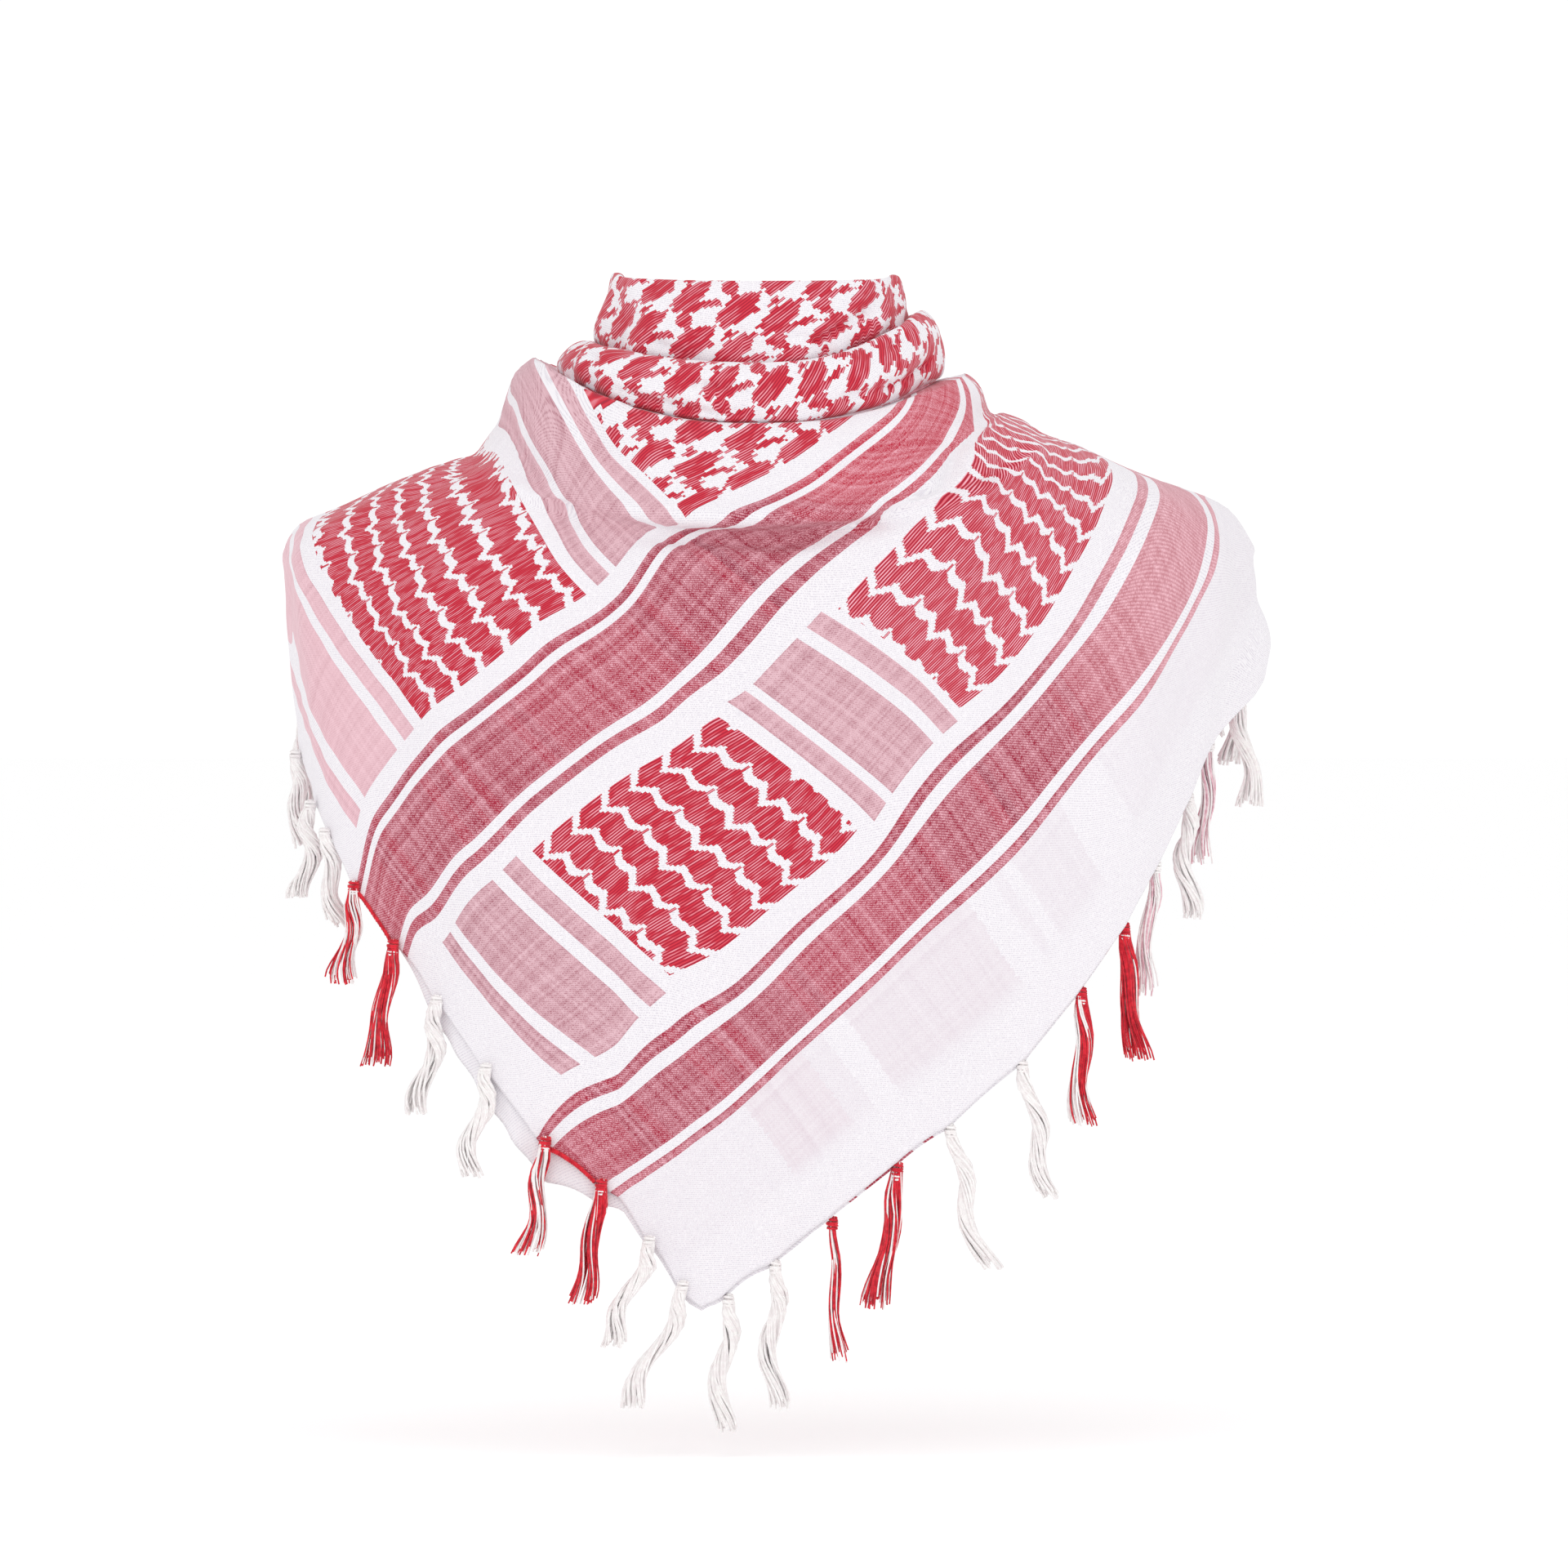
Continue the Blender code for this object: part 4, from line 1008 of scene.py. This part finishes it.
def roll_grid(rings, slant, twist, columns, per_ring):
    angle = np.linspace(-180, 180, columns)
    points = np.stack([ring_points(angle, ring) for ring in rings], 1)
    row_places = np.linspace(0, len(rings) - 1, (len(rings) - 1) * per_ring + 1)
    points = eased_rows(points, np.broadcast_to(row_places, (columns, len(row_places))))
    turn, row = np.radians(angle)[:, None], row_places[None, :]
    inside = smooth(row / 1.2) * smooth((len(rings) - 1 - row) / 1.0)
    depth = 0.6 + 0.4 * np.sin(2 * turn + 0.8) * np.cos(3 * turn)
    gathers = np.sin(slant * turn + twist * row) + 0.6 * np.sin((slant + 4) * turn
                                                                - 0.7 * twist * row + 1.3)
    gathers = gathers + 0.45 * np.sin((2 * slant + 5) * turn + 1.7 * twist * row + 0.6)
    points = points + outward(points) * (GATHER * depth * gathers * inside)[..., None]
    points[-1] = points[0]
    return angle, row_places, points


def pressed(points, creases):
    """The roll with its seen creases."""
    fronts = points[..., 1] < points[..., 1].mean()
    lift = np.zeros(points.shape[:2])
    for breadth, height, places in creases:
        path = [points[nearest(points, place, fronts)] for place in places]
        lift += crease(points, path, breadth / 1000, height / 1000)
    return points + outward(points) * lift[..., None]


def roll_places(angle, points, directions, start):
    """Flat places on a roll whose red floats rise at an angle that changes round the neck."""
    front = int(abs(angle).argmin())
    place = along_cloth(points, front)
    turn = np.radians(np.interp(angle, *zip(*directions)))
    middle = points.shape[1] // 2
    run = place[:, middle, 0]
    step = np.gradient(run)
    u0, v0 = np.cumsum(np.cos(turn) * step), -np.cumsum(np.sin(turn) * step)
    u0, v0 = u0 - u0[front], v0 - v0[front]
    down = place[..., 1] - place[:, middle:middle + 1, 1]
    u = start[0] + u0[:, None] - down * np.sin(turn)[:, None]
    v = start[1] + v0[:, None] - down * np.cos(turn)[:, None]
    return np.stack([u, v], -1)


top_angle, top_rows, top_roll = roll_grid(TOP_ROLL_RINGS, 7, 0.9, 401, 9)
ears = np.exp(-((top_angle + 80) / 14) ** 2) + 0.9 * np.exp(-((top_angle - 78) / 12) ** 2)
rim = smooth((top_rows - 1.2) / 1.2) * smooth((4.6 - top_rows) / 1.6)
top_roll[..., 2] += EAR_RISE * ears[:, None] * rim[None, :]
top_roll = pressed(top_roll, TOP_CREASES)
top_places = roll_places(top_angle, top_roll, [(-180, 38), (180, 38)], (44.95, 45.8))
middle_angle, _, middle_roll = roll_grid(MIDDLE_ROLL_RINGS, 9, -0.8, 441, 10)
middle_roll = pressed(middle_roll, MIDDLE_CREASES)
middle_places = roll_places(middle_angle, middle_roll,
                            [(-180, 35), (-60, 35), (0, 52), (60, 70), (180, 70)], (43.36, 46.4))


def neck_roll(name, points, places, node):
    piece = cloth_piece(name, points, places, woven_cotton, closed=True)
    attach(piece, "root")
    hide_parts(node)
    return piece


roll_top_cloth = neck_roll("roll_top_cloth", top_roll, top_places, "neck_roll_top")
roll_middle_cloth = neck_roll("roll_middle_cloth", middle_roll, middle_places, "neck_roll_middle")

# %% [markdown]
# ## The other half of the folded square
# Folding the square laid a second layer behind the first. It shows as a plain edge below the
# left hem, and the right tassels are knotted into it. It is the same grid moved in by a wall
# and a gap, let out at its lower edge. Its pattern is the same cloth seen with u and v swapped.

# %% Under layer
UNDER_START = 94          # first grid row that the strip follows
UNDER_GAP = 0.0021        # a wall and the gap behind it, in metres
fronts = abs(drape_angles) < DRAPE_SIDE - 0.5
strip = (drape - grid_out(drape) * UNDER_GAP)[fronts][:, UNDER_START:]
strip_uv = on_square[fronts][:, UNDER_START:, ::-1]
run = strip[:, -1] - strip[:, -3]
run /= np.linalg.norm(run, axis=-1, keepdims=True)
let_out = look_up(UNDER_DROP, drape_angles[fronts])
wander = 0.0011 * np.sin(np.arange(fronts.sum()) * 0.23) * smooth(let_out / 0.008)
let_out = (let_out + wander) / np.maximum(-run[:, 2], 0.5)
steps = np.linspace(0, 1, 6)[1:]
more = strip[:, -1:] + run[:, None] * (let_out[:, None] * steps)[..., None]
more_uv = strip_uv[:, -1:] - np.stack([0 * more[..., 0], let_out[:, None] * steps * 100], -1)
strip, strip_uv = np.concatenate([strip, more], 1), np.concatenate([strip_uv, more_uv], 1)
under_cloth = cloth_piece("under_layer_cloth", strip, strip_uv, woven_cotton)
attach(under_cloth, "root")
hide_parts("under_layer_hem")

# %% [markdown]
# ## Thread
# The tassels are the ends of the threads themselves, tied in knots. Their finish is the same
# cotton without a weave, so it only varies a little in tone and in how far it has opened.

# %% Thread materials
def thread_finish(name, pale_tone, deep_tone):
    made, shader = new_material(name, 0.8, 0.2)
    start = Thread(made.node_tree, None)
    where = start.node("ShaderNodeTexCoord", output=3)
    tone = start.node("ShaderNodeTexNoise", inputs={"Vector": where, "Scale": 380.0, "Detail": 2.0})
    colour = tone.eased(0.38, 0.62).mix(pale_tone, deep_tone)
    made.node_tree.links.new(colour.out, shader.inputs["Base Color"])
    return made


white_thread = thread_finish("white_thread", linear(252, 249, 248), linear(246, 240, 240))
red_thread = thread_finish("red_thread", linear(230, 46, 62), linear(196, 30, 48))
pink_thread = thread_finish("pink_thread", linear(246, 214, 221), linear(232, 184, 196))

# %% [markdown]
# ## Tassels
# A tassel is a bundle of thin strands, a knot, and an end that has come undone. Each strand is
# a curve with its own place in the bundle: curves are easy to twist, and a round bevel gives
# them thickness. The curves become one mesh per tassel, from four-sided tubes to keep it light.
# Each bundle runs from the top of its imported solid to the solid's foot, so it cannot stray.

# %% Strands and knots
def tube_mesh(name, strands, finishes):
    """One mesh from many strands: each is its points, its radii and the number of its finish."""
    curve = bpy.data.curves.new(name, "CURVE")
    curve.dimensions, curve.bevel_depth, curve.bevel_resolution = "3D", 1.0, 0
    curve.use_fill_caps = True
    for finish in finishes:
        curve.materials.append(finish)
    for points, radii, number in strands:
        spline = curve.splines.new("POLY")
        spline.points.add(len(points) - 1)
        spline.points.foreach_set("co", np.column_stack([points, np.ones(len(points))]).ravel())
        spline.points.foreach_set("radius", np.broadcast_to(radii, len(points)))
        spline.material_index = number
    holder = bpy.data.objects.new(name + "_curve", curve)
    bpy.context.scene.collection.objects.link(holder)
    bpy.context.view_layer.update()
    data = bpy.data.meshes.new_from_object(
        holder.evaluated_get(bpy.context.evaluated_depsgraph_get()))
    bpy.data.objects.remove(holder)
    data.name = name
    for face in data.polygons:
        face.use_smooth = True
    piece = bpy.data.objects.new(name, data)
    bpy.context.scene.collection.objects.link(piece)
    return piece


def solid_ends(node):
    """Top and foot of a packed tassel."""
    spots = np.array([v.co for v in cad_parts[node].data.vertices])
    order = spots[:, 2].argsort()
    return spots[order[-1]], spots[order[:6]].mean(0)


def bundle(root, foot, style, seed):
    """Strands of one tassel; style is a row of STYLES."""
    count, red_share, turns, sway, open_end, thick = style
    chance = np.random.default_rng(seed)
    strands = []
    t = np.linspace(0, 1, 15)
    sway_at = 2 * math.pi * chance.random()
    middle = root + (foot - root) * np.stack([t ** 1.25, t, t], -1)
    bend = sway * np.sin(t * math.pi * 2.6 + sway_at) * smooth((t - 0.08) / 0.25)
    middle = middle + np.stack([bend, 0.3 * bend, 0 * t], -1)
    for number in range(count):
        turn = 2 * math.pi * chance.random() + 2 * math.pi * turns * t * (1 - 0.45 * t)
        inside = 0.25 + 0.75 * math.sqrt(chance.random())
        neck = thick * (0.6 + 0.4 * smooth((t - 0.08) / 0.2))
        spread = open_end * (0.6 + 0.6 * chance.random()) * smooth((t - 0.62) / 0.38)
        reach = inside * (neck + spread) * smooth(t / 0.04 + 0.35)
        drift = 0.0012 * (chance.random(3) - 0.5) * np.sin(t * math.pi * 3)[:, None]
        away = np.stack([np.cos(turn), 0.8 * np.sin(turn), 0 * t], -1) * reach[:, None]
        length = 0.90 + 0.10 * chance.random()
        points = middle + away + drift
        points = np.stack([np.interp(t * length, t, points[:, k]) for k in range(3)], -1)
        radii = (0.00092 if turns >= 1 else 0.00060) * (1 - 0.3 * t)
        colour = 1 if chance.random() < red_share else 0
        strands.append((points, radii, colour))
    return strands, middle


def wraps(middle, start, end, radius, rounds, colour, thickness=0.00055):
    """A thread wound round a bundle, between two places along it."""
    t = np.linspace(start, end, rounds * 9)
    turn = np.linspace(0, 2 * math.pi * rounds, rounds * 9)
    along = np.linspace(0, 1, len(middle))
    centre = np.stack([np.interp(t, along, middle[:, k]) for k in range(3)], -1)
    swell = radius * (0.85 + 0.15 * np.sin(np.linspace(0, math.pi, len(t))))
    ring = np.stack([np.cos(turn) * swell, np.sin(turn) * swell, 0.0004 * np.sin(turn * 0.5)], -1)
    return centre + ring, np.full(len(t), thickness), colour


STYLES = {   # strands, share of red, turns, sway, open end, half thickness
    "rope": (34, 0.0, 2.0, 0.0036, 0.0018, 0.0042),
    "loose_rope": (34, 0.0, 1.0, 0.0026, 0.0040, 0.0040),
    "red": (50, 0.84, 0.5, 0.0012, 0.0038, 0.0044),
    "mixed": (46, 0.5, 0.6, 0.0020, 0.0040, 0.0042),
    "pale": (34, 0.35, 0.7, 0.0018, 0.0040, 0.0036),
    "thin_red": (26, 0.5, 0.5, 0.0014, 0.0030, 0.0026),
}
COLOURED = {   # tassels that aren't plain white rope, counted from the chest point
    "left": {3: "red", 4: "mixed", 7: "red", 8: "mixed"},
    "right": {3: "thin_red", 4: "red", 7: "mixed", 8: "red", 9: "pale", 11: "pale"},
}
TWISTED = (1, 2, 5, 6, 10)      # the plain ones that are twisted tight
RIGHT_LIFT = 0.0028             # the right knots sit this far up into the fold of the hem
tassel_names = [name for name in sorted(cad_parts) if name.startswith("tassel_")]
roots = {}
for number, name in enumerate(tassel_names):
    side, index = name.split("_")[1], int(name.split("_")[2])
    style = COLOURED[side].get(index, "rope" if index in TWISTED else "loose_rope")
    root, foot = solid_ends(name)
    roots[name] = root
    lift = 0.0 if side == "left" else RIGHT_LIFT
    strands, middle = bundle(root + (0, 0, lift), foot, STYLES[style], 100 + number)
    red_knot = 1 if style in ("red", "mixed", "thin_red") else 0
    strands.append(wraps(middle, 0.015, 0.085, 0.0026, 4, red_knot, 0.0008))
    if style in ("red", "mixed"):
        strands.append(wraps(middle, 0.09, 0.12, 0.0024, 2, 0, 0.0006))
    second = pink_thread if style == "pale" else red_thread
    piece = tube_mesh(name + "_threads", strands, [white_thread, second])
    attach(piece, "root")
    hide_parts(name)
    "thread_red" if style in ("red", "mixed") else "thread_white"

# %% [markdown]
# ## Red thread along the hem
# Where a strong band meets the fringed hem, a red thread runs along the edge from one red
# tassel to the next. Two plies wind round each other, as they do in sewing thread.

# %% Hem threads
def hem_thread(name, first, last):
    ends = [int(np.linalg.norm(drape[:, -1] - roots[n], axis=1).argmin()) for n in (first, last)]
    columns = np.linspace(min(ends), max(ends), 160)
    edge = drape[:, -1] + grid_out(drape)[:, -1] * 0.0002
    path = np.stack([np.interp(columns, np.arange(len(edge)), edge[:, k]) for k in range(3)], -1)
    turn = np.linspace(0, 2 * math.pi * 13, 160)
    strands = []
    for start in (0, math.pi):
        coil = np.stack([0 * turn, np.cos(turn + start), np.sin(turn + start)], -1) * 0.0008
        strands.append((path + coil, np.full(160, 0.0007), 0))
    piece = tube_mesh(name, strands, [red_thread])
    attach(piece, "root")
    print(name, len(piece.data.polygons), "faces")


hem_thread("hem_thread_lower", "tassel_left_03", "tassel_left_04")
hem_thread("hem_thread_upper", "tassel_left_07", "tassel_left_08")

# %% [markdown]
# ## Floor and light
# The photograph stands before plain white, and the object may be looked at from any side, so
# there is a floor and no wall. The world is white to the camera and a little greyer as light.
# Three wide soft lamps at the front and above keep the shadows in the folds pale.

# %% Floor and lamps
stage_finish, stage_shader = new_material("pale_paper", 0.9, 0.0)
stage_shader.inputs["Base Color"].default_value = (0.95, 0.95, 0.95, 1)
stage_shader.inputs["Emission Color"].default_value = (1, 1, 1, 1)
stage_shader.inputs["Emission Strength"].default_value = 0.18
floor_level = cad_box[0][2] - 0.012
floor_mesh = bmesh.new()
bmesh.ops.create_grid(floor_mesh, x_segments=1, y_segments=1, size=20.0)
bmesh.ops.translate(floor_mesh, verts=floor_mesh.verts[:], vec=(0, 0, floor_level))
floor_data = bpy.data.meshes.new("pale_floor")
floor_mesh.to_mesh(floor_data)
floor_mesh.free()
floor_data.materials.append(stage_finish)
stage = bpy.data.objects.new("pale_floor", floor_data)
bpy.context.scene.collection.objects.link(stage)


def lamp(name, place, aim, size, power):
    data = bpy.data.lights.new(name, "AREA")
    data.shape, data.size, data.energy = "DISK", size, power
    made = bpy.data.objects.new(name, data)
    made.location = place
    made.rotation_euler = (Vector(aim) - Vector(place)).to_track_quat("-Z", "Y").to_euler()
    bpy.context.scene.collection.objects.link(made)


CHEST_MIDDLE = (0, 0, -0.15)
ROOM_LIGHT, SEEN_WHITE = 0.86, 0.19     # as light, and what the camera sees on top of it
lamp("front_soft_light", (-1.0, -2.6, 1.6), CHEST_MIDDLE, size=2.2, power=11)
lamp("fill_light", (1.9, -2.0, 0.7), CHEST_MIDDLE, size=2.0, power=5)
lamp("top_light", (0, -0.3, 2.4), (0, 0, 0), size=1.6, power=5)
world = bpy.data.worlds.new("pale_room")
world.use_nodes = True
world.node_tree.nodes["Background"].inputs[0].default_value = (1, 1, 1, 1)
room = Thread(world.node_tree, None)
seen_white = room.node("ShaderNodeLightPath") * SEEN_WHITE + ROOM_LIGHT
world.node_tree.links.new(seen_white.out, world.node_tree.nodes["Background"].inputs[1])
bpy.context.scene.world = world
print("floor at", round(floor_level, 3), "m")
